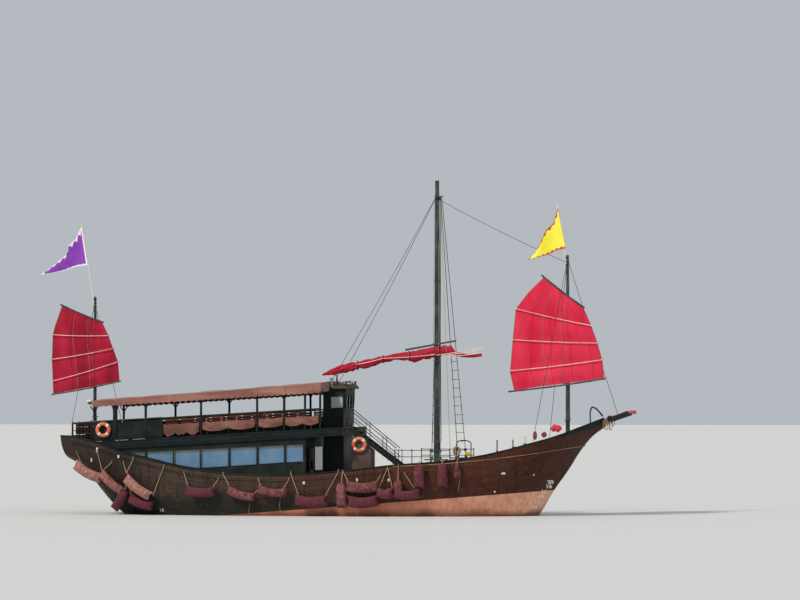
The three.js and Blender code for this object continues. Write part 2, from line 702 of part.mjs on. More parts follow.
// Sails: cloth outline, batten ends, yard, boom; all in the X-Z plane beside the mast
const foreSail = {
  mast: foreMast,
  planeY: -270,
  ring: 190,
  cloth: [
    [8900, 6170], [10180, 6375], [11190, 6500], [13240, 6760], [13161, 7556], [12908, 8446], [12604, 9286],
    [12150, 10170], [10300, 11560], [9560, 10850], [8907, 10107], [8755, 8571], [8654, 7036],
  ],
  yard: [[10180, 11750], [12300, 10140], 45],
  battens: [
    [[8830, 10140], [12690, 9268], 26],
    [[8510, 8622], [13000, 8422], 26],
    [[8550, 7075], [13230, 7615], 26],
  ],
  boom: [[8520, 6060], [13330, 6695], 42],
};

const mizzenSail = {
  mast: mizzenMast,
  planeY: -240,
  ring: 165,
  cloth: [
    [-14640, 6060], [-13900, 6160], [-13000, 6315], [-11290, 6665], [-11353, 7569], [-11606, 8236],
    [-11859, 8903], [-12200, 9510], [-14230, 10330], [-14580, 9432], [-14710, 8937], [-14760, 7649],
    [-14690, 6659],
  ],
  yard: [[-14330, 10450], [-12080, 9540], 38],
  battens: [
    [[-14800, 8937], [-11810, 8878], 24],
    [[-14800, 7690], [-11540, 8240], 24],
    [[-14740, 6600], [-11300, 7570], 24],
  ],
  boom: [[-14800, 5930], [-11190, 6600], 36],
};

function makeSail({ cloth, planeY }) {
  return plateXZ(cloth, planeY - 9, planeY + 9);
}

// Yard and boom above and below the cloth, battens on both faces, ties at luff and leech
function makeSpars({ mast, planeY, ring, yard, battens, boom }) {
  const pieces = [];
  const inner = (r) => planeY + 12 + r;
  const outer = (r) => planeY - 12 - r;
  const at = ([x, z], y) => [x, y, z];
  const ends = [yard, ...battens, boom];
  for (const [from, to, r] of ends) {
    const single = r > battens[0][2];
    const sides = single ? [planeY] : [inner(r), outer(r)];
    for (const y of sides) pieces.push(rod(at(from, y), at(to, y), r, single ? 8 : 6));
    if (!single) {
      for (const end of [from, to]) pieces.push(rod(at(end, inner(r)), at(end, outer(r)), r - 4, 4));
    }
    const level = from[1] + (to[1] - from[1]) * (mast.x - from[0]) / (to[0] - from[0]);
    if (r === boom[2] || !single) {
      const hoop = new THREE.TorusGeometry(ring, 20, 4, 12).translate(mast.x, 0, level);
      pieces.push(hoop);
      const near = single ? planeY : inner(r);
      pieces.push(rod([mast.x, near, level], [mast.x, -ring, level], 22, 4));
    }
  }
  for (const end of [0, 1]) {
    for (let i = 0; i < ends.length - 1; i++) {
      const tie = (line, k) => [line[k][0], planeY, line[k][1]];
      pieces.push(rod(tie(ends[i], end), tie(ends[i + 1], end), 10, 4));
    }
  }
  return join(...pieces);
}

// Furled main sail: x, centre z, half height, half width
const furled = { y: -400 };
const furledRows = [
  [-800, 6900, 50, 45], [-270, 7000, 115, 110], [100, 7120, 165, 150], [850, 7300, 185, 165],
  [1650, 7450, 190, 165], [2650, 7660, 200, 165], [3200, 7790, 195, 160], [4200, 7860, 250, 165],
  [4850, 7950, 245, 160], [5600, 8080, 255, 155], [5780, 8100, 190, 130], [5900, 7960, 110, 110],
  [6600, 7910, 115, 100], [7100, 7925, 70, 70],
];

function makeFurledSail() {
  const sides = 12;
  const rings = furledRows.map(([x, z, high, wide]) => Array.from({ length: sides }, (_, i) => {
    const turn = 2 * Math.PI * i / sides;
    return [x, furled.y + wide * Math.cos(turn), z + high * Math.sin(turn)];
  }));
  return loft(rings, [1, 2]);
}

function furledAt(x) {
  let i = 0;
  while (i < furledRows.length - 2 && furledRows[i + 1][0] < x) i++;
  const [a, b] = [furledRows[i], furledRows[i + 1]];
  return a.map((value, k) => value + (b[k] - value) * (x - a[0]) / (b[0] - a[0]));
}

const furledYard = { aft: [700, 7580], front: [5950, 8560], radius: 55 };
const furledBattens = [[[900, 7420], [7400, 8230]], [[900, 7330], [7250, 8090]], [[900, 7240], [7330, 7980]]];

function makeFurledSpars() {
  const pieces = [];
  const { y } = furled;
  const gaskets = [1000, 2300, 3600, 5100];
  for (const x of gaskets) {
    const [, z, high, wide] = furledAt(x);
    const loop = new THREE.TorusGeometry(1, 0.055, 4, 14).rotateY(Math.PI / 2);
    pieces.push(loop.scale(320, wide + 40, high + 45).translate(x, y, z));
  }
  const { aft, front, radius } = furledYard;
  const yardAt = (x) => aft[1] + (front[1] - aft[1]) * (x - aft[0]) / (front[0] - aft[0]);
  pieces.push(rod([aft[0], y, aft[1]], [front[0], y, front[1]], radius, 10));
  const outboard = y - 165 - 50;
  for (const [a, b] of furledBattens) {
    pieces.push(rod([a[0], outboard, a[1]], [b[0], outboard, b[1]], 26, 6));
  }
  for (const x of gaskets) {
    const [, z, high] = furledAt(x);
    pieces.push(rod([x, outboard, z - 0.8 * high], [x, outboard, z + high + 60], 17, 4));
    pieces.push(rod([x, outboard, z + high + 60], [x, y, yardAt(x)], 17, 4));
  }
  const level = furledAt(mainMast.x)[1];
  const hoop = new THREE.TorusGeometry(230, 22, 4, 12).translate(mainMast.x, 0, level + 400);
  pieces.push(hoop, rod([mainMast.x, -230, level + 400], [mainMast.x, y, level + 330], 24, 4));
  return join(...pieces);
}

function makeCrutch() {
  const foot = deckAt(0) + house.eave + 45 + 215;
  const y = furled.y;
  const post = rod([-60, y + 160, foot - 30], [-60, y, 6860], 30);
  const saddle = box(-110, -10, y - 130, y + 130, 6840, 6880);
  const legs = join(post, rod([-60, y - 160, foot - 160], [-60, y, 6860], 30), saddle);
  return cut(legs, makeHouseRoof().translate(0, 0, gap));
}

// Pennants: hoist top, hoist foot, fly tip, depth of the wave
const pennants = {
  stern: { points: [[-13290, 14400], [-12975, 12430], [-15426, 11951]], knee: [-14100, 13000] },
  fore: { points: [[10935, 15010], [11320, 13060], [9442, 12485]], knee: [10080, 13500] },
};

function makePennant({ points, knee }) {
  const [head, foot, tip] = points;
  const shape = plateXZ([foot, head, knee, tip], -6, 6);
  return shape.translate(0, -40, 0);
}

// Fenders slung from a line under the cap rail
function makeFenders() {
  const outer = (x, z) => -sideY(stationAt(x), z);
  const line = (x) => {
    const z = stationAt(x)[2] - capThick - 60;
    return [x, outer(x, z) - 34, z];
  };
  const hang = (x, z, r) => {
    const flare = (outer(x, z + 50) - outer(x, z - 50)) / 100;
    const taper = (outer(x + 50, z) - outer(x - 50, z)) / 100;
    const lean = Math.hypot(1, flare, taper);
    return new THREE.Vector3(x, outer(x, z) - (r + 55) * lean, z);
  };
  const pieces = [];
  for (const [x0, z0, x1, z1, r] of fenders) {
    const [a, b] = [hang(x0, z0, r), hang(x1, z1, r)];
    const along = b.clone().sub(a).normalize();
    const tip = (end, out) => end.clone().addScaledVector(along, out).toArray();
    const points = [tip(a, -0.25 * r), tip(a, 0.35 * r), tip(b, -0.35 * r), tip(b, 0.25 * r)];
    pieces.push(strand(points, [0.5 * r, r, r, 0.5 * r], 6));
    for (const [knot, x] of x0 === x1 ? [[a, x0]] : [[a, x0 - 200], [b, x1 + 200]]) {
      const high = line(x);
      const half = [(knot.x + high[0]) / 2, 0, (knot.z + high[2]) / 2];
      half[1] = outer(half[0], half[2]) - 120 - 0.3 * r;
      pieces.push(strand([knot.toArray(), half, high], 16));
    }
  }
  const xs = [...stations.map(([x]) => x).filter((x) => x > -13000 && x < 7000), 6850];
  pieces.push(strand(xs.map(line), 20));
  return join(...pieces);
}

// Foredeck gear
function makeWindlass() {
  const low = 2740;
  const drum = rod([8900, -520, low + 420], [8900, 520, low + 420], 150, 12);
  const heads = [-1, 1].map((s) => rod([8900, s * 470, low + 420], [8900, s * 620, low + 420], 210, 12));
  const cheek = [[8640, low], [9160, low + 85], [8990, low + 560], [8810, low + 560]];
  const legs = [-330, 330].map((y) => plateXZ(cheek, y - 50, y + 50));
  const sole = plateXZ([[8600, low], [9200, low + 160], [9200, low + 190], [8600, low + 50]], -420, 420);
  return join(drum, ...heads, ...legs, sole);
}

// Rudder and propeller
function makeRudder() {
  const x = rudderAxisX;
  const blade = [
    [x + 120, -1780], [x - 1150, -1700], [x - 1230, -500], [x - 860, -120], [x - 60, -230], [x + 120, -330],
  ];
  return join(plateXZ(blade, -45, 45), rod([x, 0, -1850], [x, 0, 900], 65, 12));
}

function makePropeller() {
  const { x, z, radius, hub } = propeller;
  const blade = () => {
    const shape = new THREE.Shape();
    shape.absellipse(0, radius * 0.55, 185, radius * 0.45, 0, 2 * Math.PI);
    const leaf = new THREE.ExtrudeGeometry(shape, { depth: 26, bevelEnabled: false, curveSegments: 8 });
    return leaf.translate(0, 0, -13).rotateY(Math.PI / 2 - 0.6);
  };
  const shaft = rod([x + 420, 0, 0], [x - 130, 0, 0], 60);
  const boss = rod([x + 130, 0, 0], [x - 150, 0, 0], hub, 12, hub * 0.7);
  const pieces = [shaft, boss];
  for (let k = 0; k < 4; k++) pieces.push(blade().rotateX(k * Math.PI / 2).translate(x, 0, 0));
  return join(...pieces).translate(0, 0, z);
}

// Materials: colour, roughness, metalness
function finish(color, roughness, metalness = 0) {
  return new THREE.MeshStandardMaterial({ color, roughness, metalness });
}
const timber = finish(0x4a2c22, 0.7);
const darkPaint = finish(0x26332e, 0.55);
const deckWood = finish(0x7a5b40, 0.8);
const glass = finish(0x6f9cc0, 0.1);
const canvasBrown = finish(0xa0604f, 0.9);
const sailRed = finish(0xc82a3c, 0.85);
const spar = finish(0xd8c7ad, 0.6);
const mastPaint = finish(0x2a2c22, 0.6);
const fenderCloth = finish(0x8c3c46, 0.9);
const orange = finish(0xd85a2c, 0.5);
const purple = finish(0x8a44b4, 0.8);
const yellow = finish(0xf2cf3a, 0.8);
const bronze = finish(0x9c7a3c, 0.35, 0.9);
const iron = finish(0x30302e, 0.6, 0.6);

const poleOf = (from, to) => rod([from[0], 0, from[1]], [to[0], 0, to[1]], 32, 8, 18);

const junk = new THREE.Group();
const pieces = [
  ['hull', makeHull(), timber],
  ['bulwark_stbd', makeForeBulwark(), timber],
  ['bulwark_port', mirrored(makeForeBulwark()), timber],
  ['keel', makeKeel(), timber],
  ['cap_rail_port', mirrored(makeCapRail()), darkPaint],
  ['cap_rail_stbd', makeCapRail(), darkPaint],
  ['bow_beams', makeBowBeams(), darkPaint],
  ['saloon_walls', makeSaloonWalls(), darkPaint],
  ['saloon_glass_stbd', makeSaloonGlass(), glass],
  ['saloon_glass_port', mirrored(makeSaloonGlass()), glass],
  ['saloon_glass_front', makeFrontGlass(), glass],
  ['saloon_door', makeSaloonDoor(), timber],
  ['engine', makeEngine(), iron],
  ['engine_hatch', makeEngineHatch(), deckWood],
  ['upper_deck', makeUpperDeck(), darkPaint],
  ['upper_frame_stbd', makeUpperFrame(), darkPaint],
  ['upper_frame_port', mirrored(makeUpperFrame()), darkPaint],
  ['stern_rail', makeSternRail(), darkPaint],
  ['awning', makeAwning(), canvasBrown],
  ['awning_bows', makeAwningBows(), darkPaint],
  ['seats_stbd', makeSeats(), timber],
  ['seats_port', mirrored(makeSeats()), timber],
  ['stern_bench', makeSternBench(), timber],
  ['dodgers_stbd', makeDodgers(), canvasBrown],
  ['dodgers_port', mirrored(makeDodgers()), canvasBrown],
  ['pilothouse', makeHouse(), darkPaint],
  ['pilothouse_glass', makeHouseGlass(), glass],
  ['pilothouse_roof', makeHouseRoof(), darkPaint],
  ['pilothouse_door', makeHouseDoor(), timber],
  ['helm', makeHelm(), timber],
  ['helm_trunk', makeHelmTrunk(), darkPaint],
  ['stair', makeStair(), darkPaint],
  ['stair_locker', makeStairLocker(), darkPaint],
  ['deck_rail_stbd', makeDeckRail(), darkPaint],
  ['deck_rail_port', mirrored(makeDeckRail()), darkPaint],
  ['lifebuoy_aft', makeBuoy(-11330, -2850, 4190, 0), orange],
  ['lifebuoy_stair', makeBuoy(1450, stair.near - 95, 3470, 0), orange],
  ['mast_main', makeMast(mainMast, box(4820, 5180, -230, 230, 15630, 15690)), mastPaint],
  ['mast_fore', makeMast(foreMast, poleOf([11400, 12100], [10886, 15316])), mastPaint],
  ['mast_mizzen', makeMast(mizzenMast, poleOf([-12600, 10200], [-13324, 14538])), mastPaint],
  ['shrouds_stbd', makeShrouds(), mastPaint],
  ['shrouds_port', mirrored(makeShrouds()), mastPaint],
  ['boom_crutch', makeCrutch(), darkPaint],
  ['sail_fore', makeSail(foreSail), sailRed],
  ['spars_fore', makeSpars(foreSail), spar],
  ['sail_mizzen', makeSail(mizzenSail), sailRed],
  ['spars_mizzen', makeSpars(mizzenSail), spar],
  ['sail_main', makeFurledSail(), sailRed],
  ['spars_main', makeFurledSpars(), spar],
  ['pennant_stern', makePennant(pennants.stern), purple],
  ['pennant_fore', makePennant(pennants.fore), yellow],
  ['fenders_stbd', makeFenders(), fenderCloth],
  ['fenders_port', mirrored(makeFenders()), fenderCloth],
  ['windlass', makeWindlass(), iron],
  ['rudder', makeRudder(), timber],
  ['propeller', makePropeller(), bronze],
];
for (const [name, geometry, material] of pieces) {
  const mesh = new THREE.Mesh(geometry, material);
  mesh.name = name;
  junk.add(mesh);
}

export default junk;
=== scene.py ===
import math

import bmesh
import bpy
from mathutils import Matrix, Vector, noise


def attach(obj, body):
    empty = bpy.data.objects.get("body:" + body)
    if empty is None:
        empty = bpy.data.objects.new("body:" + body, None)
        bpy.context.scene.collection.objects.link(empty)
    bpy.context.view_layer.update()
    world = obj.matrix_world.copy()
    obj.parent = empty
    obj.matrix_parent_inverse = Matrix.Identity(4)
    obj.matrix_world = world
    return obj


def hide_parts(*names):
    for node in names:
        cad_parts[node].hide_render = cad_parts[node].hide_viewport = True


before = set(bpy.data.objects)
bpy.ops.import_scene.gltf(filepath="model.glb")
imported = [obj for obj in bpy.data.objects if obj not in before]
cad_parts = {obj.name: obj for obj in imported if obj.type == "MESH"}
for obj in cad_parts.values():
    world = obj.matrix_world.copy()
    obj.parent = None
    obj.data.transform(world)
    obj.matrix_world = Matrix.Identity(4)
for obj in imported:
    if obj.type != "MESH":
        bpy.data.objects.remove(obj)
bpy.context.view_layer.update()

view = {
    "ahead": 12.2,  # degrees that the camera stands ahead of the beam
    "distance": 200.0,
    "eye": 5.4,  # height above the water
    "aimAlong": 2.97,  # middle of the frame, along the picture
    "aimHeight": 10.6,
    "lens": 182.0,
}


def setCamera():
    turn = math.radians(view["ahead"])
    across = Vector((math.cos(turn), math.sin(turn), 0))
    outward = Vector((math.sin(turn), -math.cos(turn), 0))
    eye = across * view["aimAlong"] + outward * view["distance"] + Vector((0, 0, view["eye"]))
    aim = across * view["aimAlong"] + Vector((0, 0, view["aimHeight"]))
    data = bpy.data.cameras.new("camera")
    data.lens = view["lens"]
    data.sensor_width = 36.0
    data.clip_start, data.clip_end = 1.0, 2000.0
    camera = bpy.data.objects.new("camera", data)
    camera.location = eye
    camera.rotation_euler = (aim - eye).to_track_quat("-Z", "Y").to_euler()
    bpy.context.scene.collection.objects.link(camera)
    bpy.context.scene.camera = camera


setCamera()
print("camera set")


def hexColour(code):
    parts = [int(code[i:i + 2], 16) / 255 for i in (1, 3, 5)]
    return [c / 12.92 if c <= 0.04045 else ((c + 0.055) / 1.055) ** 2.4 for c in parts] + [1.0]


# Feeds a node's sockets: a node gives its main output, a string is a hex colour
def feed(tree, node, inputs):
    for socket, value in inputs.items():
        if isinstance(value, bpy.types.Node):
            value = value.outputs[2 if value.bl_idname == "ShaderNodeMix" else 0]
        if isinstance(value, bpy.types.NodeSocket):
            tree.links.new(value, node.inputs[socket])
        else:
            node.inputs[socket].default_value = hexColour(value) if isinstance(value, str) else value


def addNode(tree, kind, inputs=None, **settings):
    made = tree.nodes.new("ShaderNode" + kind)
    if kind == "Mix":
        made.data_type = "RGBA"
    for name, value in settings.items():
        setattr(made, name, value)
    feed(tree, made, inputs or {})
    return made


def newMaterial(name):
    material = bpy.data.materials.new(name)
    material.use_nodes = True
    tree = material.node_tree
    tree.nodes.clear()
    shader = addNode(tree, "BsdfPrincipled")
    addNode(tree, "OutputMaterial", {"Surface": shader})
    place = addNode(tree, "TexCoord").outputs["Object"]
    return material, tree, shader, place


def lerp(a, b, t):
    return a + (b - a) * t


# Height of a straight line at x; the line is its start, the height there and its rise per metre
def lineAt(line, x):
    start, height, rise = line
    return height + rise * (x - start)


def tableAt(rows, x):
    i = 0
    while i < len(rows) - 2 and rows[i + 1][0] < x:
        i += 1
    t = (x - rows[i][0]) / (rows[i + 1][0] - rows[i][0])
    return [lerp(a, b, t) for a, b in zip(rows[i], rows[i + 1])]


def spanOf(start, end, count):
    return [lerp(start, end, i / count) for i in range(count + 1)]


# Sets a finished bmesh down as a piece that rides on a body
def makePiece(name, bm, finishes, body="ship", stands=(), sharp=38.0):
    bm.normal_update()
    for edge in bm.edges:
        edge.smooth = len(edge.link_faces) == 2 and edge.calc_face_angle(0) < math.radians(sharp)
    for face in bm.faces:
        face.smooth = True
    mesh = bpy.data.meshes.new(name)
    bm.to_mesh(mesh)
    bm.free()
    for finish in finishes:
        mesh.materials.append(finish)
    piece = bpy.data.objects.new(name, mesh)
    bpy.context.scene.collection.objects.link(piece)
    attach(piece, body)
    if stands:
        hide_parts(*stands)
    return piece


def turnedTo(along, up=(0, 0, 1)):
    ahead = Vector(along).normalized()
    side = Vector(up).cross(ahead)
    if side.length < 1e-4:
        side = Vector((0, 1, 0)).cross(ahead) if abs(ahead.y) < 0.9 else Vector((1, 0, 0)).cross(ahead)
    side.normalize()
    top = ahead.cross(side)
    return Matrix((ahead, side, top)).transposed().to_4x4()


def setFinish(faces, slot):
    for face in faces:
        face.material_index = slot


# Squared timber between two points, its arrises eased
def addBeam(bm, start, end, width, height, ease=0.006, slot=0, up=(0, 0, 1)):
    start, end = Vector(start), Vector(end)
    size = Matrix.Diagonal(((end - start).length, width, height, 1))
    place = Matrix.Translation((start + end) / 2) @ turnedTo(end - start, up) @ size
    corners = bmesh.ops.create_cube(bm, size=1, matrix=place)["verts"]
    faces = {f for v in corners for f in v.link_faces}
    setFinish(faces, slot)
    if ease:
        edges = list({e for v in corners for e in v.link_edges})
        bmesh.ops.bevel(bm, geom=edges, offset=ease, offset_type="OFFSET", segments=1, profile=0.5,
                        affect="EDGES", material=-1)


# Round rod or spar between two points
def addRod(bm, start, end, radius, radiusEnd=None, sides=12, slot=0):
    start, end = Vector(start), Vector(end)
    turn = turnedTo(end - start) @ Matrix.Rotation(math.pi / 2, 4, "Y")
    made = bmesh.ops.create_cone(
        bm, cap_ends=True, segments=sides, radius1=radius, radius2=radius if radiusEnd is None else radiusEnd,
        depth=(end - start).length, matrix=Matrix.Translation((start + end) / 2) @ turn)
    setFinish({f for v in made["verts"] for f in v.link_faces}, slot)


def addBall(bm, centre, radius, stretch=(1, 1, 1), slot=0, fine=12):
    place = Matrix.Translation(Vector(centre)) @ Matrix.Diagonal((*stretch, 1))
    made = bmesh.ops.create_uvsphere(bm, u_segments=fine, v_segments=fine * 2 // 3, radius=radius,
                                     matrix=place)
    setFinish({f for v in made["verts"] for f in v.link_faces}, slot)


# Ring of round bar about a centre, standing across the given direction
def addRing(bm, centre, axis, radius, thick, around=28, sides=8):
    place = Matrix.Translation(Vector(centre)) @ turnedTo(axis)
    circle = bmesh.ops.create_circle(bm, segments=sides, radius=thick, cap_ends=False,
                                     matrix=place @ Matrix.Translation((0, radius, 0)))
    edges = list({e for v in circle["verts"] for e in v.link_edges})
    hub, direction = place @ Vector((0, 0, 0)), (place.to_3x3() @ Vector((1, 0, 0)))
    bmesh.ops.spin(bm, geom=circle["verts"] + edges, cent=hub, axis=direction, angle=2 * math.pi,
                   steps=around, use_merge=True)


# Skin over a row of rings, bridged one to the next
def addSkin(bm, rings, closed=True, capped=True, slot=0):
    loops = []
    for ring in rings:
        verts = [bm.verts.new(p) for p in ring]
        count = len(verts) if closed else len(verts) - 1
        loops.append([bm.edges.new((verts[i], verts[(i + 1) % len(verts)])) for i in range(count)])
    faces = []
    for first, second in zip(loops, loops[1:]):
        made = bmesh.ops.bridge_loops(bm, edges=first + second)
        faces += made["faces"]
    if closed and capped:
        for loop in (loops[0], loops[-1]):
            faces += bmesh.ops.contextual_create(bm, geom=loop)["faces"]
    setFinish(faces, slot)
    return faces


# Round rope or tube through points, thicker or thinner along its way
def addTube(bm, points, radius, sides=6, slot=0):
    path = [Vector(p) for p in points]
    radii = radius if isinstance(radius, (list, tuple)) else [radius] * len(path)
    rings = []
    side = None
    for i, p in enumerate(path):
        ahead = (path[min(i + 1, len(path) - 1)] - path[max(i - 1, 0)]).normalized()
        if side is None:
            side = turnedTo(ahead).to_3x3() @ Vector((0, 1, 0))
        side = (side - ahead * side.dot(ahead)).normalized()
        up = ahead.cross(side)
        rings.append([p + (side * math.cos(a) + up * math.sin(a)) * radii[i]
                      for a in (2 * math.pi * k / sides for k in range(sides))])
    return addSkin(bm, rings, slot=slot)


# Points of a rope between two places, hanging a little
def hangBetween(start, end, sag, steps=10):
    start, end = Vector(start), Vector(end)
    return [start.lerp(end, t) - Vector((0, 0, sag * 4 * t * (1 - t))) for t in spanOf(0, 1, steps)]


def faceOut(bm):
    bmesh.ops.recalc_face_normals(bm, faces=bm.faces[:])


def mirrorPort(bm, geom=None):
    copy = bmesh.ops.duplicate(bm, geom=geom or bm.verts[:] + bm.edges[:] + bm.faces[:])["geom"]
    verts = [g for g in copy if isinstance(g, bmesh.types.BMVert)]
    bmesh.ops.scale(bm, vec=(1, -1, 1), verts=verts)
    bmesh.ops.reverse_faces(bm, faces=[g for g in copy if isinstance(g, bmesh.types.BMFace)])


# Grid of cloth laid on a surface that a function gives, with its own weave map
def addCloth(bm, across, down, surface, slot=0, size=(1.0, 1.0)):
    weave = bm.loops.layers.uv.get("cloth") or bm.loops.layers.uv.new("cloth")
    made = bmesh.ops.create_grid(bm, x_segments=across, y_segments=down, size=0.5, calc_uvs=False)
    faces = {f for v in made["verts"] for f in v.link_faces}
    for face in faces:
        face.material_index = slot
        for loop in face.loops:
            loop[weave].uv = ((loop.vert.co.x + 0.5) * size[0], (loop.vert.co.y + 0.5) * size[1])
    for vert in made["verts"]:
        vert.co = Vector(surface(vert.co.x + 0.5, vert.co.y + 0.5))


# Oil paint brushed on timber: streaks along the grain, dull weathered patches, chips down to the wood
def brushedPaint(name, look):
    material, tree, shader, place = newMaterial(name)
    patches = addNode(tree, "TexNoise", {"Vector": place, "Scale": 1.3, "Detail": 7.0, "Roughness": 0.6})
    along = addNode(tree, "Mapping", {"Vector": place, "Scale": look["streak"]})
    streaks = addNode(tree, "TexNoise", {"Vector": along, "Scale": 4.0, "Detail": 5.0})
    chips = addNode(tree, "TexNoise", {"Vector": place, "Scale": 26.0, "Detail": 4.0, "Roughness": 0.7})
    worn = addNode(tree, "MapRange", {0: patches, 1: 0.42, 2: 0.68})
    faded = addNode(tree, "Mix", {0: worn, 6: look["colour"], 7: look["faded"]})
    line = addNode(tree, "MapRange", {0: streaks, 1: 0.45, 2: 0.75, 3: 0.0, 4: 0.55})
    streaked = addNode(tree, "Mix", {0: line, 6: faded, 7: look["grime"]})
    chip = addNode(tree, "MapRange", {0: chips, 1: look["chipAt"], 2: look["chipAt"] + 0.03})
    bare = addNode(tree, "Mix", {0: chip, 6: streaked, 7: look["wood"]})
    gloss = addNode(tree, "MapRange", {0: patches, 1: 0.3, 2: 0.7,
                                                 3: look["gloss"], 4: look["gloss"] + 0.25})
    height = addNode(tree, "Math", {0: streaks, 1: chip}, operation="SUBTRACT")
    bump = addNode(tree, "Bump", {"Height": height, "Strength": 0.35, "Distance": 0.004})
    feed(tree, shader, {"Base Color": bare, "Roughness": gloss, "Normal": bump,
                        "Specular IOR Level": look.get("shine", 0.3)})
    return material


# Sawn boards laid edge to edge: dark caulked seams, each board its own tone, grain drawn out along it
def laidBoards(name, look):
    material, tree, shader, place = newMaterial(name)
    boards = addNode(tree, "TexBrick", {
        "Vector": addNode(tree, "Mapping", {"Vector": place, "Rotation": look["turn"]}),
        "Color1": look["light"], "Color2": look["dark"], "Mortar": look["seam"],
        "Scale": 1.0, "Mortar Size": look["seamWidth"], "Mortar Smooth": 0.3, "Bias": -0.1,
        "Brick Width": look["length"], "Row Height": look["width"]}, offset=0.37, offset_frequency=2)
    grain = addNode(tree, "TexNoise", {
        "Vector": addNode(tree, "Mapping", {"Vector": place, "Scale": look["grain"]}),
        "Scale": 3.0, "Detail": 8.0, "Roughness": 0.65})
    tone = addNode(tree, "MapRange", {0: grain, 1: 0.3, 2: 0.7, 3: 0.62, 4: 1.2})
    toned = addNode(tree, "Mix", {0: 1.0, 6: boards.outputs["Color"], 7: tone}, blend_type="MULTIPLY")
    stain = addNode(tree, "TexNoise", {"Vector": place, "Scale": 0.9, "Detail": 6.0})
    dirt = addNode(tree, "MapRange", {0: stain, 1: 0.5, 2: 0.7, 3: 0.0, 4: 0.6})
    dirty = addNode(tree, "Mix", {0: dirt, 6: toned, 7: look["stain"]})
    height = addNode(tree, "Math", {0: grain, 1: boards.outputs["Fac"]}, operation="SUBTRACT")
    bump = addNode(tree, "Bump", {"Height": height, "Strength": 0.4, "Distance": 0.005})
    feed(tree, shader, {"Base Color": dirty, "Roughness": look["rough"], "Normal": bump})
    return material


# Woven cloth: the weave drawn at 12 mm, as threads are too fine to show; bleached patches, creases, seams
def wovenCloth(name, look):
    material, tree, shader, place = newMaterial(name)
    weave = addNode(tree, "UVMap", uv_map="cloth")
    drawn = addNode(tree, "Mapping", {"Vector": place, "Scale": look.get("drawn", (1, 1, 1))})
    sun = addNode(tree, "TexNoise",
                  {"Vector": drawn, "Scale": look["patch"], "Detail": 5.0, "Roughness": 0.55})
    bleach = addNode(tree, "MapRange", {0: sun, 1: 0.4, 2: 0.7})
    base = addNode(tree, "Mix", {0: bleach, 6: look["colour"], 7: look["faded"]})
    threads = addNode(tree, "TexBrick", {
        "Vector": weave, "Color1": (1, 1, 1, 1), "Color2": (0.86, 0.86, 0.86, 1),
        "Mortar": (0.6, 0.6, 0.6, 1), "Scale": 1.0, "Mortar Size": 0.0015, "Mortar Smooth": 0.6,
        "Brick Width": 0.024, "Row Height": 0.012})
    woven = addNode(tree, "Mix", {0: 0.35, 6: base, 7: threads.outputs["Color"]}, blend_type="MULTIPLY")
    seams = addNode(tree, "TexBrick", {
        "Vector": weave, "Color1": (1, 1, 1, 1), "Color2": (0.93, 0.93, 0.93, 1),
        "Mortar": (0.45, 0.4, 0.4, 1), "Scale": 1.0, "Mortar Size": look["seamWidth"], "Mortar Smooth": 0.2,
        "Brick Width": look["panel"], "Row Height": 50.0}, offset=0.0)
    sewn = addNode(tree, "Mix", {0: 1.0, 6: woven, 7: seams.outputs["Color"]}, blend_type="MULTIPLY")
    crease = addNode(tree, "TexNoise", {"Vector": drawn, "Scale": look["crease"], "Detail": 6.0,
                                                  "Roughness": 0.6, "Distortion": 0.8})
    soft = addNode(tree, "Bump", {"Height": crease, "Strength": look["creaseDepth"], "Distance": 0.05})
    fine = addNode(tree, "Bump", {"Height": threads.outputs["Fac"], "Normal": soft,
                                            "Strength": 0.25, "Distance": 0.003}, invert=True)
    feed(tree, shader, {"Base Color": sewn, "Roughness": 0.85, "Normal": fine,
                        "Sheen Weight": look.get("sheen", 0.15),
                        "Specular IOR Level": look.get("shine", 0.4), "Sheen Roughness": 0.5})
    return material


# Three-strand rope: the lay is drawn as slanting bands on the rope's own size
def laidRope(name, look):
    material, tree, shader, place = newMaterial(name)
    lay = addNode(tree, "TexWave", {"Vector": place, "Scale": look["lay"], "Distortion": 2.0, "Detail": 2.0},
                  wave_type="BANDS", bands_direction="DIAGONAL")
    soiled = addNode(tree, "TexNoise", {"Vector": place, "Scale": 3.0, "Detail": 4.0})
    mixed = addNode(tree, "Math", {0: lay.outputs["Fac"], 1: soiled}, operation="MULTIPLY")
    colour = addNode(tree, "Mix", {0: mixed, 6: look["shade"], 7: look["colour"]})
    bump = addNode(tree, "Bump", {"Height": lay.outputs["Fac"], "Strength": 0.6, "Distance": 0.004})
    feed(tree, shader, {"Base Color": colour, "Roughness": 0.9, "Normal": bump})
    return material


# Cast or forged metal: fine grain from the surface, stains gathered in patches
def castMetal(name, look):
    material, tree, shader, place = newMaterial(name)
    stain = addNode(tree, "TexNoise",
                    {"Vector": place, "Scale": look["patch"], "Detail": 8.0, "Roughness": 0.6})
    share = addNode(tree, "MapRange", {0: stain, 1: look["cleanTo"], 2: look["cleanTo"] + 0.15})
    colour = addNode(tree, "Mix", {0: share, 6: look["colour"], 7: look["stain"]})
    rough = addNode(tree, "MapRange", {0: stain, 1: 0.3, 2: 0.7, 3: look["rough"], 4: look["rough"] + 0.3})
    grit = addNode(tree, "TexNoise", {"Vector": place, "Scale": 180.0, "Detail": 2.0})
    bump = addNode(tree, "Bump", {"Height": grit, "Strength": 0.3, "Distance": 0.002})
    feed(tree, shader, {"Base Color": colour, "Metallic": look["metal"], "Roughness": rough,
                        "Normal": bump})
    return material


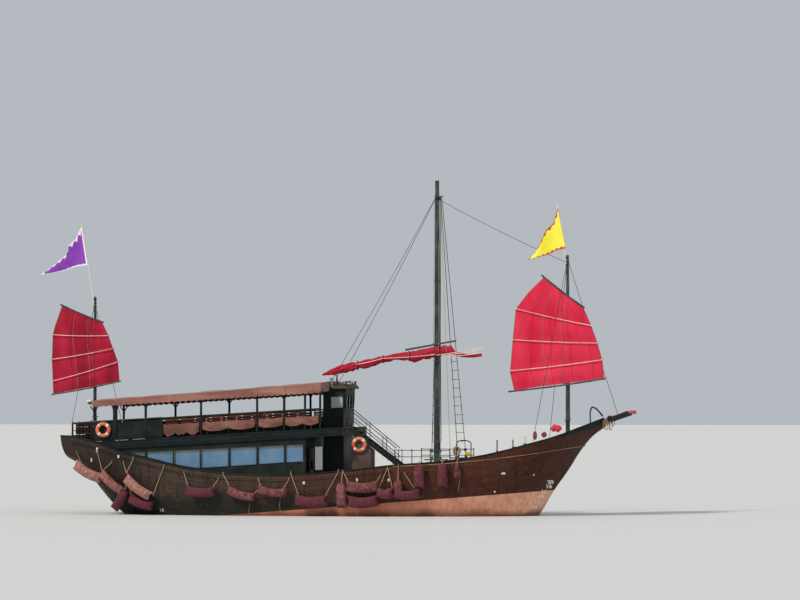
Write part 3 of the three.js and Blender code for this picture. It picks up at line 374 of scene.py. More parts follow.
# Float glass with a blue body tint, greener panes at the after end, salt dust in faint patches
def tintedGlass(name, look):
    material, tree, shader, place = newMaterial(name)
    dust = addNode(tree, "TexNoise", {"Vector": place, "Scale": 1.6, "Detail": 5.0})
    film = addNode(tree, "MapRange", {0: dust, 1: 0.35, 2: 0.75, 3: 0.03, 4: 0.16})
    along = addNode(tree, "SeparateXYZ", {0: place})
    aftPanes = addNode(tree, "MapRange", {0: along.outputs[0], 1: -9.02, 2: -9.12})
    body = addNode(tree, "Mix", {0: aftPanes, 6: look["tint"], 7: look["aft"]})
    # the panes are darker in a band under the head beam
    head = addNode(tree, "Math", {0: along.outputs[0], 1: 0.05, 2: 3.575}, operation="MULTIPLY_ADD")
    below = addNode(tree, "Math", {0: head, 1: along.outputs[2]}, operation="SUBTRACT")
    band = addNode(tree, "MapRange", {0: below, 1: look["band"], 2: look["band"] - 0.05})
    banded = addNode(tree, "Mix", {0: band, 6: body, 7: look["head"]})
    colour = addNode(tree, "Mix", {0: film, 6: banded, 7: "#b9c6cc"})
    feed(tree, shader, {"Base Color": colour, "Roughness": film, "IOR": 1.52, "Alpha": look["solid"],
                        "Coat Weight": 0.6})
    return material


darkPaint = brushedPaint("blackGreenOilPaint", {
    "colour": "#161d1b", "faded": "#242d2a", "grime": "#0d1010", "wood": "#6b5a4a",
    "streak": (0.25, 2.0, 6.0), "gloss": 0.42, "chipAt": 0.72, "shine": 0.12})
fasciaPaint = brushedPaint("blueGreenFasciaPaint", {
    "colour": "#11181b", "faded": "#1d272a", "grime": "#0c1012", "wood": "#8d8672", "streak": (0.3, 3.0, 3.0),
    "gloss": 0.45, "chipAt": 0.73, "shine": 0.12})
mastPaint = brushedPaint("tarredMastPaint", {
    "colour": "#293637", "faded": "#485a5a", "grime": "#141a1b", "wood": "#6d6558", "streak": (6.0, 6.0, 0.2),
    "gloss": 0.3, "chipAt": 0.74})
redPaint = brushedPaint("redEnamel", {
    "colour": "#a3313c", "faded": "#c25a5c", "grime": "#5d2226", "wood": "#6b4a3a", "streak": (1.0, 4.0, 4.0),
    "gloss": 0.35, "chipAt": 0.68})
whitePaint = brushedPaint("whiteEnamel", {
    "colour": "#d8d8d0", "faded": "#c0c0b6", "grime": "#8f8b7e", "wood": "#7a6a58", "streak": (3.0, 3.0, 0.5),
    "gloss": 0.35, "chipAt": 0.72})
wornEdge = brushedPaint("wornBatten", {
    "colour": "#6f6f62", "faded": "#98968a", "grime": "#33382f", "wood": "#a49c88", "streak": (0.4, 4.0, 4.0),
    "gloss": 0.6, "chipAt": 0.6})
slatTimber = brushedPaint("stainedSlats", {
    "colour": "#54291f", "faded": "#6f3d2f", "grime": "#271512", "wood": "#93694f", "streak": (0.6, 8.0, 8.0),
    "gloss": 0.5, "chipAt": 0.7})
deckTeak = laidBoards("weatheredTeakDeck", {
    "light": "#8a6f54", "dark": "#6f5843", "seam": "#1d1a17", "stain": "#4a3c30", "width": 0.12,
    "length": 3.6, "seamWidth": 0.006, "turn": (0, 0, 0), "grain": (0.6, 14.0, 6.0), "rough": 0.8})
cabinTeak = laidBoards("cabinSoleTeak", {
    "light": "#80573b", "dark": "#68452f", "seam": "#1a1512", "stain": "#3d2a1f", "width": 0.14,
    "length": 2.8, "seamWidth": 0.004, "turn": (0, 0, 0), "grain": (0.6, 14.0, 6.0), "rough": 0.55})
bamboo = laidBoards("bambooBatten", {
    "light": "#eed8d0", "dark": "#e2bfb6", "seam": "#9b7a68", "stain": "#a58a6c", "width": 4.0,
    "length": 0.42, "seamWidth": 0.01, "turn": (0, 0, 0), "grain": (1.0, 30.0, 30.0), "rough": 0.55})
sailWeight = {"panel": 1.05, "seamWidth": 0.012, "sheen": 0.02, "shine": 0.15}
sailRed = wovenCloth("redSailcloth", {
    **sailWeight, "colour": "#ca2240", "faded": "#dc3c58", "patch": 0.5, "crease": 1.1, "creaseDepth": 0.8,
    "drawn": (1.6, 1, 0.5)})
# Darker copy of the sail red for the mizzen: painted shade
shadedSailRed = wovenCloth("shadedRedSailcloth", {
    **sailWeight, "colour": "#93152e", "faded": "#b3243f", "patch": 0.6, "crease": 1.3, "creaseDepth": 0.9,
    "drawn": (1.7, 1, 0.6)})
# Brighter copy of the sail red for the furled main: painted light, making up for the shade on its folds
litFurledRed = wovenCloth("litFurledRedSailcloth", {
    **sailWeight, "colour": "#f42c50", "faded": "#fb4f6c", "patch": 1.2, "panel": 9.0, "seamWidth": 0.002,
    "crease": 3.0, "creaseDepth": 0.6, "drawn": (0.6, 1, 1.6)})
awningCloth = wovenCloth("awningCanvas", {
    "colour": "#7c5047", "faded": "#a8796b", "patch": 1.3, "panel": 1.4, "seamWidth": 0.01, "crease": 1.6,
    "creaseDepth": 0.5, "drawn": (0.3, 2.2, 2.2)})
dodgerCloth = wovenCloth("dodgerCanvas", {
    "colour": "#6e453b", "faded": "#8a5e50", "patch": 1.6, "panel": 1.1, "seamWidth": 0.01, "crease": 3.0,
    "creaseDepth": 0.5})
unsewn = {"panel": 9.0, "seamWidth": 0.002}  # cloth in one width
bunting = {**unsewn, "patch": 1.2, "crease": 1.5, "creaseDepth": 0.3}
purpleCloth = wovenCloth("purpleFlagCloth", {**bunting, "colour": "#7c34ab", "faded": "#9350c0"})
yellowCloth = wovenCloth("yellowFlagCloth", {**bunting, "colour": "#f5ec34", "faded": "#f9f26e"})
whiteCloth = wovenCloth("whiteFlagBorder", {**bunting, "colour": "#e6e2ea", "faded": "#f2eff4"})
redCloth = wovenCloth("redFlagBorder", {**bunting, "colour": "#b8322c", "faded": "#cc5045"})
curtainCloth = wovenCloth("paleCurtain", {
    **unsewn, "colour": "#c9bfae", "faded": "#ddd5c8", "patch": 2.0, "crease": 4.0, "creaseDepth": 0.2})
paleRope = laidRope("manilaRope", {"colour": "#cdb894", "shade": "#7a674a", "lay": 30.0})
redTie = laidRope("redSailTie", {"colour": "#b01c33", "shade": "#5e0f1d", "lay": 30.0})
darkRope = laidRope("tarredRope", {"colour": "#3a3428", "shade": "#17150f", "lay": 30.0})
galvanised = castMetal("galvanisedSteel", {
    "colour": "#9aa0a2", "stain": "#6d5a48", "patch": 6.0, "cleanTo": 0.55, "rough": 0.4, "metal": 0.9})
castIron = castMetal("paintedCastIron", {
    "colour": "#2b2c2a", "stain": "#5a3d2b", "patch": 5.0, "cleanTo": 0.56, "rough": 0.5, "metal": 0.4})
bronze = castMetal("castBronze", {
    "colour": "#a8803e", "stain": "#4f6b52", "patch": 7.0, "cleanTo": 0.55, "rough": 0.25, "metal": 1.0})
brass = castMetal("polishedBrass", {
    "colour": "#c9a04a", "stain": "#7d6230", "patch": 9.0, "cleanTo": 0.6, "rough": 0.2, "metal": 1.0})
windowGlass = tintedGlass("blueTintedGlass", {"tint": "#3f7099", "aft": "#44544f", "head": "#3a4f55",
                                              "band": 0.20, "solid": 0.84})
houseGlass = tintedGlass("wheelhouseGlass",
                         {"tint": "#c9cfc4", "aft": "#c9cfc4", "head": "#c9cfc4", "band": -9, "solid": 0.45})


# Old canvas sewn round kapok: bleached pink where the sun gets at it, maroon and grimed below
def sackCanvas(name, look):
    material, tree, shader, place = newMaterial(name)
    share = addNode(tree, "Attribute", attribute_name="faded").outputs["Fac"]
    patches = addNode(tree, "TexNoise", {"Vector": place, "Scale": 5.0, "Detail": 7.0, "Roughness": 0.65})
    lift = addNode(tree, "Math", {0: patches, 1: share, 2: -0.45}, operation="ADD")
    lift = addNode(tree, "Math", {0: lift, 1: -0.42}, operation="ADD")
    bleach = addNode(tree, "MapRange", {0: lift, 1: 0.38, 2: 0.95})
    cloth = addNode(tree, "Mix", {0: bleach, 6: look["colour"], 7: look["faded"]})
    scuffs = addNode(tree, "TexNoise", {"Vector": place, "Scale": 13.0, "Detail": 8.0, "Distortion": 1.2})
    dirt = addNode(tree, "MapRange", {0: scuffs, 1: 0.43, 2: 0.68, 3: 0.0, 4: 0.6})
    dirty = addNode(tree, "Mix", {0: dirt, 6: cloth, 7: look["grime"]})
    creases = addNode(tree, "TexNoise", {"Vector": place, "Scale": 6.0, "Detail": 6.0, "Distortion": 2.2})
    bump = addNode(tree, "Bump", {"Height": creases, "Strength": 1.0, "Distance": 0.07})
    feed(tree, shader, {"Base Color": dirty, "Roughness": 0.9, "Normal": bump})
    return material


fenderCanvas = sackCanvas("fenderCanvas", {"colour": "#612533", "faded": "#b07a70", "grime": "#2b1519"})
buoyOrange = brushedPaint("lifebuoyOrange", {
    "colour": "#d3542c", "faded": "#dd7a52", "grime": "#8a3c22", "wood": "#e8d9c4", "streak": (2.0, 2.0, 2.0),
    "gloss": 0.35, "chipAt": 0.74})


# Finishes of single fittings
seatEdge = brushedPaint("wornSeatEdge", {
    "colour": "#8f6a4e", "faded": "#b79a7c", "grime": "#4a3527", "wood": "#cbb89c", "streak": (0.6, 6.0, 6.0),
    "gloss": 0.55, "chipAt": 0.66})
enginePaint = brushedPaint("engineGreenPaint", {
    "colour": "#3c5a4a", "faded": "#4c6b59", "grime": "#1d241f", "wood": "#6f6a60", "streak": (1.0, 1.0, 3.0),
    "gloss": 0.35, "chipAt": 0.72})
bootTopPaint = brushedPaint("salmonBootTop", {
    "colour": "#c3836c", "faded": "#d0a08b", "grime": "#6a3d2f", "wood": "#54402f", "streak": (0.4, 2.0, 2.0),
    "gloss": 0.55, "chipAt": 0.68})
roofBoards = laidBoards("brownRoofBoards", {
    "light": "#5d473a", "dark": "#46352c", "seam": "#191412", "stain": "#332a25", "width": 0.16,
    "length": 1.6, "seamWidth": 0.006, "turn": (0, 0, 0), "grain": (0.8, 12.0, 6.0), "rough": 0.75})
rolled = {**unsewn, "patch": 4.0, "crease": 7.0, "creaseDepth": 0.8}
brightRedCloth = wovenCloth("redOilskin", {
    **rolled, "colour": "#c0202f", "faded": "#d63a44", "patch": 2.0, "creaseDepth": 0.9})
maroonCloth = wovenCloth("maroonCloth", {**rolled, "colour": "#7c2a3c", "faded": "#96455a"})
oldYellowCloth = wovenCloth("yellowOilskin", {**rolled, "colour": "#b89a2c", "faded": "#cdb558"})
lockerTimber = laidBoards("stainedLockerBoards", {
    "light": "#56423a", "dark": "#45352e", "seam": "#17110e", "stain": "#2c211d", "width": 3.0,
    "length": 0.14, "seamWidth": 0.005, "turn": (math.pi / 2, 0, 0), "grain": (12.0, 12.0, 0.8),
    "rough": 0.6})
lampGlass = tintedGlass("opalLampGlass",
                        {"tint": "#e9e7df", "aft": "#e9e7df", "head": "#e9e7df", "band": -9, "solid": 0.95})


# Boards underfoot, dark paint wherever a face doesn't look up
def paintedDeckBlock(name, look):
    material, tree, shader, place = newMaterial(name)
    facing = addNode(tree, "SeparateXYZ", {0: addNode(tree, "NewGeometry").outputs["Normal"]})
    level = addNode(tree, "MapRange", {0: facing.outputs[2], 1: 0.85, 2: 0.95})
    boards = addNode(tree, "TexBrick", {"Vector": place, "Color1": look["light"], "Color2": look["dark"],
        "Mortar": look["seam"], "Scale": 1.0, "Mortar Size": 0.006, "Mortar Smooth": 0.3, "Bias": -0.1,
        "Brick Width": 3.4, "Row Height": 0.12}, offset=0.37, offset_frequency=2)
    grain = addNode(tree, "TexNoise", {
        "Vector": addNode(tree, "Mapping", {"Vector": place, "Scale": (0.5, 12.0, 4.0)}),
        "Scale": 3.0, "Detail": 8.0, "Roughness": 0.65})
    tone = addNode(tree, "MapRange", {0: grain, 1: 0.3, 2: 0.7, 3: 0.65, 4: 1.2})
    toned = addNode(tree, "Mix", {0: 1.0, 6: boards.outputs["Color"], 7: tone}, blend_type="MULTIPLY")
    patches = addNode(tree, "TexNoise", {"Vector": place, "Scale": 1.2, "Detail": 7.0, "Roughness": 0.6})
    worn = addNode(tree, "MapRange", {0: patches, 1: 0.42, 2: 0.68})
    paint = addNode(tree, "Mix", {0: worn, 6: look["paint"], 7: look["faded"]})
    streaks = addNode(tree, "MapRange", {0: grain, 1: 0.5, 2: 0.8, 3: 0.0, 4: 0.5})
    streaked = addNode(tree, "Mix", {0: streaks, 6: paint, 7: look["grime"]})
    skin = addNode(tree, "Mix", {0: level, 6: streaked, 7: toned})
    seams = addNode(tree, "Math", {0: boards.outputs["Fac"], 1: level}, operation="MULTIPLY")
    height = addNode(tree, "Math", {0: grain, 1: seams}, operation="SUBTRACT")
    bump = addNode(tree, "Bump", {"Height": height, "Strength": 0.4, "Distance": 0.005})
    gloss = addNode(tree, "MapRange", {0: patches, 1: 0.3, 2: 0.7, 3: 0.45, 4: 0.75})
    feed(tree, shader, {"Base Color": skin, "Roughness": gloss, "Normal": bump,
                        "Specular IOR Level": 0.12})
    return material


promenadeDeck = paintedDeckBlock("promenadeDeckAndFascia", {
    "light": "#7d6650", "dark": "#655240", "seam": "#1b1815", "paint": "#11181b", "faded": "#1d272a",
    "grime": "#0c1012"})
print("finishes mixed")

# Sections: x, keel z, sheer z, half beam, deck z, inner half beam, roundness, fullness
sections = [
    (-13.45, 2.68, 3.92, 2.60, 3.08, 2.49, 2.6, 3.0),
    (-12.90, 2.39, 3.88, 2.80, 3.122, 2.69, 2.6, 3.0),
    (-12.30, 1.74, 3.76, 2.91, 3.157, 2.80, 2.5, 2.6),
    (-11.85, 1.08, 3.66, 2.98, 3.183, 2.87, 2.4, 2.3),
    (-11.38, 0.47, 3.51, 3.06, 3.21, 2.95, 2.3, 2.1),
    (-10.90, -0.02, 3.33, 3.13, 3.225, 3.02, 2.2, 1.9),
    (-10.66, -0.13, 3.248, 3.165, 3.165, 3.04, 2.2, 1.8),
    (-10.62, -0.15, 3.234, 3.17, 1.35, 3.0, 2.2, 1.8),
    (-10.20, -0.36, 3.09, 3.22, 1.35, 3.0, 2.3, 1.8),
    (-9.00, -0.78, 2.81, 3.30, 1.35, 3.0, 2.5, 1.9),
    (-7.57, -1.09, 2.47, 3.40, 1.35, 3.0, 2.7, 2.1),
    (-6.20, -1.23, 2.24, 3.45, 1.35, 3.0, 2.8, 2.3),
    (-4.83, -1.30, 2.09, 3.47, 1.35, 3.0, 3.0, 2.5),
    (-2.30, -1.32, 2.02, 3.48, 1.35, 3.0, 3.0, 2.5),
    (-1.01, -1.32, 2.075, 3.47, 1.35, 3.0, 3.0, 2.5),
    (-0.91, -1.32, 2.085, 3.47, 1.40, 3.35, 3.0, 2.5),
    (1.24, -1.31, 2.27, 3.44, 1.45, 3.32, 2.9, 2.4),
    (3.38, -1.28, 2.515, 3.41, 1.50, 3.29, 2.65, 2.35),
    (3.42, -1.28, 2.52, 3.41, 2.30, 3.29, 2.65, 2.35),
    (5.80, -1.20, 2.71, 3.30, 2.40, 3.18, 2.1, 2.0),
    (7.76, -1.06, 3.00, 3.10, 2.56, 2.98, 1.7, 1.6),
    (8.73, -0.92, 3.22, 2.90, 2.72, 2.77, 1.5, 1.4),
    (9.30, -0.68, 3.37, 2.73, 2.85, 2.60, 1.4, 1.3),
    (9.70, -0.33, 3.49, 2.59, 2.95, 2.46, 1.35, 1.25),
    (10.13, 0.25, 3.61, 2.40, 3.06, 2.27, 1.3, 1.2),
    (10.69, 1.19, 3.77, 2.15, 3.25, 2.02, 1.3, 1.2),
    (11.40, 2.18, 4.01, 1.81, 3.54, 1.68, 1.25, 1.15),
    (12.11, 3.27, 4.30, 1.40, 3.89, 1.27, 1.25, 1.15),
    (12.66, 3.91, 4.53, 1.05, 4.23, 0.92, 1.2, 1.1),
    (13.30, 4.37, 4.80, 0.62, 4.60, 0.49, 1.2, 1.1),
]
hullForm = {
    "step": 0.22,  # metres between the skin's sections
    "sidePoints": 16,
    "transomRake": -0.15,
    "keelHalf": 0.12,
    "capThick": 0.07,
    "bulwark": 0.12,
    "strake": 0.19,  # width of a plank
    "plank": 5.2,  # length of a plank
    "bootTop": (0.078, 0.42),  # its rise towards the bow, and its height amidships
}
fairRows = [row for i, row in enumerate(sections) if i == 0 or row[0] - sections[i - 1][0] > 0.11]


# A fair curve through the sections, as a batten would take it
def fairAt(x, column):
    rows = fairRows
    i = max(0, min(len(rows) - 2, sum(1 for row in rows if row[0] <= x) - 1))
    a, b = rows[i], rows[i + 1]
    before, after = rows[max(i - 1, 0)], rows[min(i + 2, len(rows) - 1)]
    span = b[0] - a[0]
    t = (x - a[0]) / span

    def slope(p, q):
        return (q[column] - p[column]) / (q[0] - p[0]) if q[0] != p[0] else 0.0

    middle = slope(a, b)
    ends = []
    for near in (slope(before, a) if i else middle, slope(b, after) if i < len(rows) - 2 else middle):
        same = near * middle > 0
        ends.append(2 * near * middle / (near + middle) if same else 0.0)
    return ((2 * t ** 3 - 3 * t ** 2 + 1) * a[column] + (t ** 3 - 2 * t ** 2 + t) * span * ends[0]
            + (3 * t ** 2 - 2 * t ** 3) * b[column] + (t ** 3 - t ** 2) * span * ends[1])


def sheerAt(x):
    return fairAt(x, 2)


def sideAt(x, z):
    bottom, sheer, half = fairAt(x, 1), sheerAt(x) - hullForm["capThick"], fairAt(x, 3)
    t = min(max((z - bottom) / (sheer - bottom), 0), 1)
    sweep = 1 - (1 - t) ** fairAt(x, 6)
    return hullForm["keelHalf"] + (half - hullForm["keelHalf"]) * sweep ** (1 / fairAt(x, 7))


# How far round the section a point is, down from the sheer
def girthAt(x, z, steps=8):
    sheer = sheerAt(x) - hullForm["capThick"]
    if z >= sheer:
        return 0.0
    heights = spanOf(sheer, z, steps)
    return sum(math.dist((sideAt(x, a), a), (sideAt(x, b), b)) for a, b in zip(heights, heights[1:]))


def transomShift(x, z):
    bottom, sheer = sections[0][1], sections[0][2] - hullForm["capThick"]
    return hullForm["transomRake"] * (z - bottom) / (sheer - bottom) if x == sections[0][0] else 0.0


def skinStations():
    knots = sorted({row[0] for row in sections})
    places = []
    for a, b in zip(knots, knots[1:]):
        places += spanOf(a, b, max(1, round((b - a) / hullForm["step"])))[:-1]
    return places + [knots[-1]]


# Oiled planks, salmon boot-top, weed and stain at the water, rubbed and scratched where the fenders work
def hullFinish():
    material, tree, shader, place = newMaterial("oiledHullPlanks")
    strakes = addNode(tree, "UVMap", uv_map="strakes")
    split = addNode(tree, "SeparateXYZ", {0: place})
    high, along = split.outputs[2], split.outputs[0]
    rise, height = hullForm["bootTop"]
    planks = addNode(tree, "TexBrick", {
        "Vector": strakes, "Color1": (1, 1, 1, 1), "Color2": (0.72, 0.70, 0.68, 1),
        "Mortar": (0.22, 0.2, 0.18, 1), "Scale": 1.0, "Mortar Size": 0.006, "Mortar Smooth": 0.4,
        "Bias": -0.2, "Brick Width": hullForm["plank"],
        "Row Height": hullForm["strake"]}, offset=0.41, offset_frequency=2)
    grain = addNode(tree, "TexNoise", {
        "Vector": addNode(tree, "Mapping", {"Vector": strakes, "Scale": (0.5, 14.0, 1.0)}),
        "Scale": 4.0, "Detail": 9.0, "Roughness": 0.65})
    cloudy = addNode(tree, "TexNoise", {"Vector": place, "Scale": 0.55, "Detail": 7.0, "Roughness": 0.6})
    # runs of dirt down the side
    runs = addNode(tree, "TexNoise", {
        "Vector": addNode(tree, "Mapping", {"Vector": place, "Scale": (3.2, 3.2, 0.35)}),
        "Scale": 1.6, "Detail": 6.0, "Roughness": 0.6})
    aftShare = addNode(tree, "MapRange", {0: along, 1: 4.5, 2: -6.0})
    wood = addNode(tree, "Mix", {0: aftShare, 6: "#4b2519", 7: "#443931"})
    quarterShare = addNode(tree, "MapRange", {0: along, 1: -7.0, 2: -11.0})
    wood = addNode(tree, "Mix", {0: quarterShare, 6: wood, 7: "#2c2422"})
    grained = addNode(tree, "MapRange", {0: grain, 1: 0.3, 2: 0.7, 3: 0.62, 4: 1.3})
    toned = addNode(tree, "Mix", {0: 1.0, 6: wood, 7: grained}, blend_type="MULTIPLY")
    planked = addNode(tree, "Mix", {0: 1.0, 6: toned, 7: planks.outputs["Color"]}, blend_type="MULTIPLY")
    grey = addNode(tree, "MapRange", {0: cloudy, 1: 0.45, 2: 0.7, 3: 0.0, 4: 0.5})
    weathered = addNode(tree, "Mix", {0: grey, 6: planked, 7: "#4b3c32"})
    runShare = addNode(tree, "MapRange", {0: runs, 1: 0.5, 2: 0.72, 3: 0.0, 4: 0.75})
    run = addNode(tree, "Mix", {0: runShare, 6: weathered, 7: "#19120f"})
    # weed and wet planks low down, deepest aft
    wetTop = addNode(tree, "MapRange", {0: along, 1: -12.0, 2: 5.0, 3: 1.15, 4: 0.55}, clamp=True)
    wetHeight = addNode(tree, "Math", {0: high, 1: wetTop}, operation="SUBTRACT")
    wetRough = addNode(tree, "Math", {0: cloudy, 1: 1.6, 2: wetHeight}, operation="MULTIPLY_ADD")
    wetShare = addNode(tree, "MapRange", {0: wetRough, 1: 1.0, 2: 0.5, 3: 0.0, 4: 0.85})
    wet = addNode(tree, "Mix", {0: wetShare, 6: run, 7: "#1e211c"})
    # pale scratches along the planks
    scratch = addNode(tree, "TexNoise", {
        "Vector": addNode(tree, "Mapping", {"Vector": strakes, "Scale": (1.3, 16.0, 1.0)}),
        "Scale": 2.0, "Detail": 3.0, "Roughness": 0.5})
    scratchShare = addNode(tree, "MapRange", {0: scratch, 1: 0.69, 2: 0.73, 3: 0.0, 4: 0.75})
    scratched = addNode(tree, "Mix", {0: scratchShare, 6: wet, 7: "#a39483"})
    # paint flecks and salt where the fenders rub
    specks = addNode(tree, "TexNoise", {"Vector": place, "Scale": 7.5, "Detail": 5.0, "Roughness": 0.7})
    rubbed = addNode(tree, "MapRange", {0: high, 1: 2.1, 2: 1.2, 3: -0.05, 4: 0.03})
    speck = addNode(tree, "Math", {0: specks, 1: rubbed}, operation="ADD")
    speckShare = addNode(tree, "MapRange", {0: speck, 1: 0.70, 2: 0.73, 3: 0.0, 4: 0.85})
    flecked = addNode(tree, "Mix", {0: speckShare, 6: scratched, 7: "#b3a898"})
    # the boot-top climbs towards the bow
    bootTop = addNode(tree, "Math", {0: along, 1: rise, 2: height}, operation="MULTIPLY_ADD")
    below = addNode(tree, "Math", {0: bootTop, 1: high}, operation="SUBTRACT")
    paintEdge = addNode(tree, "MapRange", {0: below, 1: -0.012, 2: 0.012})
    salmon = addNode(tree, "Mix", {0: grey, 6: "#c87d65", 7: "#d69b83"})
    soiled = addNode(tree, "MapRange", {0: runs, 1: 0.42, 2: 0.75, 3: 0.0, 4: 0.6})
    bowShare = addNode(tree, "MapRange", {0: along, 1: 3.0, 2: 9.5})  # drier and paler to the bow
    dried = addNode(tree, "Mix", {0: bowShare, 6: salmon, 7: "#e3aa8b"})
    stained = addNode(tree, "Mix", {0: soiled, 6: dried, 7: "#a0654f"})
    splash = addNode(tree, "Math", {0: cloudy, 1: -1.0, 2: high}, operation="MULTIPLY_ADD")
    damp = addNode(tree, "MapRange", {0: splash, 1: -0.1, 2: -0.42, 3: 0.0, 4: 0.85})
    boot = addNode(tree, "Mix", {0: damp, 6: stained, 7: "#664437"})
    skin = addNode(tree, "Mix", {0: paintEdge, 6: flecked, 7: boot})
    relief = addNode(tree, "Math", {0: grain, 1: 0.35, 2: 0.0}, operation="MULTIPLY_ADD")
    seamed = addNode(tree, "Math", {0: relief, 1: planks.outputs["Fac"]}, operation="SUBTRACT")
    bump = addNode(tree, "Bump", {"Height": seamed, "Strength": 0.7, "Distance": 0.012})
    gloss = addNode(tree, "MapRange", {0: cloudy, 1: 0.35, 2: 0.65, 3: 0.38, 4: 0.7})
    feed(tree, shader, {"Base Color": skin, "Roughness": gloss, "Normal": bump,
                        "Specular IOR Level": 0.16})
    return material


hullPlanks = hullFinish()


def hullSection(x):
    row = tableAt(sections, x)
    sheer = sheerAt(x) - hullForm["capThick"]
    bottom = fairAt(x, 1)
    count = hullForm["sidePoints"]
    port = []
    for j in range(count + 1):
        z = bottom + (sheer - bottom) * (j / count) ** 1.4
        port.append((sideAt(x, z) if j < count else fairAt(x, 3), z))
    inner = min(row[5], fairAt(x, 3) - 0.1)
    port.append((inner, sheer))
    port.append((min(inner, sideAt(x, row[4]) - hullForm["bulwark"]), row[4]))
    ring = port + [(-y, z) for y, z in reversed(port)]
    return [(x + transomShift(x, z), y, z) for y, z in ring]


def buildHull():
    bm = bmesh.new()
    strakes = bm.loops.layers.uv.new("strakes")
    addSkin(bm, [hullSection(x) for x in skinStations()])
    faceOut(bm)
    for face in bm.faces:
        centre = face.calc_center_median()
        row = tableAt(sections, centre.x)
        endOn = abs(face.normal.x) > 0.75
        level = face.normal.z > 0.8
        inboard = face.normal.y * centre.y < -0.25 * abs(centre.y) and centre.z > row[4] - 0.05
        bulkhead = endOn and -13 < centre.x < 5 and abs(centre.y) < sideAt(centre.x, centre.z) - 0.08
        if inboard or level or bulkhead:
            onRail = centre.z > sheerAt(centre.x) - hullForm["capThick"] - 0.02
            face.material_index = 1 if onRail or not level else (3 if row[4] < 1.38 else 2)
        for loop in face.loops:
            p = loop.vert.co
            if endOn:
                loop[strakes].uv = (p.y, p.z)
            else:
                side = 0.0 if p.y < 0 else 90.0  # the port planks aren't the starboard ones over again
                loop[strakes].uv = (p.x + side, girthAt(p.x, p.z) + side * hullForm["strake"])
    return makePiece("hull_planking", bm, [hullPlanks, darkPaint, deckTeak, cabinTeak],
                     stands=["hull", "bulwark_stbd", "bulwark_port"], sharp=32)


buildHull()
print("hull planked")

# Square cap along the bulwarks, and the dark wash board that deepens towards the bow
capForm = {
    "out": 0.035, "inboard": 0.16, "end": 13.3, "ease": 0.012,
    "saloon": (-10.63, -1.0, 3.064),  # from, to, and the wall that the cap butts against
    "transom": (2.60, 3.865, 0.18),  # half length, height, width
}
washBoard = {"from": 11.2, "to": 13.3, "deep": 0.06, "deepens": 0.115}


def capSection(x, side):
    out = fairAt(x, 3) + capForm["out"]
    within = fairAt(x, 3) - capForm["inboard"]
    start, end, wall = capForm["saloon"]
    if start < x < end:
        within = max(within, wall)
    low = sheerAt(x) - hullForm["capThick"] + 0.001
    top = sheerAt(x)
    e = capForm["ease"]
    ring = [(out, low + e), (out, top - e), (out - e, top), (within + e, top), (within, top - e),
            (within, low + e), (within + e, low), (out - e, low)]
    shift = hullForm["transomRake"] if x == sections[0][0] else 0.0
    return [(x + shift, side * y, z) for y, z in ring]


def buildCapRails():
    bm = bmesh.new()
    places = [x for x in skinStations() if x <= capForm["end"]]
    addSkin(bm, [capSection(x, 1) for x in places])
    mirrorPort(bm)
    # cap across the transom
    half, z, wide = capForm["transom"]
    x = sections[0][0] + hullForm["transomRake"] + wide / 2
    addBeam(bm, (x, -half, z), (x, half, z), wide, 0.072, ease=capForm["ease"])
    # wash board at the bow
    rings = []
    for x in spanOf(washBoard["from"], washBoard["to"], 14):
        deep = washBoard["deep"] + (x - washBoard["from"]) * washBoard["deepens"]
        top, low = sheerAt(x) - 0.02, sheerAt(x) - 0.07 - deep
        heights = spanOf(low, top, 4)
        rings.append([(x, sideAt(x, z) - 0.02, z) for z in reversed(heights)]
                     + [(x, sideAt(x, z) + 0.032, z) for z in heights])
    first = len(bm.faces)
    addSkin(bm, rings)
    bm.faces.ensure_lookup_table()
    fresh = bm.faces[first:]
    verts, edges = {v for f in fresh for v in f.verts}, {e for f in fresh for e in f.edges}
    mirrorPort(bm, [*verts, *edges, *fresh])
    faceOut(bm)
    return makePiece("cap_rails", bm, [darkPaint],
                     stands=["cap_rail_port", "cap_rail_stbd"])


buildCapRails()


# Thin mouldings that follow the planking
def stripAlong(bm, xs, heightAt, deep, proud, slot=0):
    rings = []
    for x in xs:
        low, high = heightAt(x) - deep / 2, heightAt(x) + deep / 2
        rings.append([(x, -sideAt(x, z) + out, z)
                      for z, out in ((low, 0.01), (low, -proud), (high, -proud), (high, 0.01))])
    addSkin(bm, rings, slot=slot)


bowMoulding = {"from": 3.4, "to": 12.3, "height": 2.44, "slope": 0.0303, "sweep": 0.00897}
sternMoulding = {"from": -12.9, "to": 3.4, "below": 0.34}


def bowMouldingAt(x):
    run = x - bowMoulding["from"]
    return bowMoulding["height"] + bowMoulding["slope"] * run + bowMoulding["sweep"] * run ** 2


def buildMouldings():
    bm = bmesh.new()
    stripAlong(bm, spanOf(bowMoulding["from"], bowMoulding["to"], 60), bowMouldingAt, 0.028, 0.014, slot=1)
    stripAlong(bm, spanOf(sternMoulding["from"], sternMoulding["to"], 90),
               lambda x: sheerAt(x) - sternMoulding["below"], 0.035, 0.02)
    mirrorPort(bm)
    faceOut(bm)
    return makePiece("hull_mouldings", bm, [darkPaint, seatEdge])


buildMouldings()
print("rails and mouldings set")


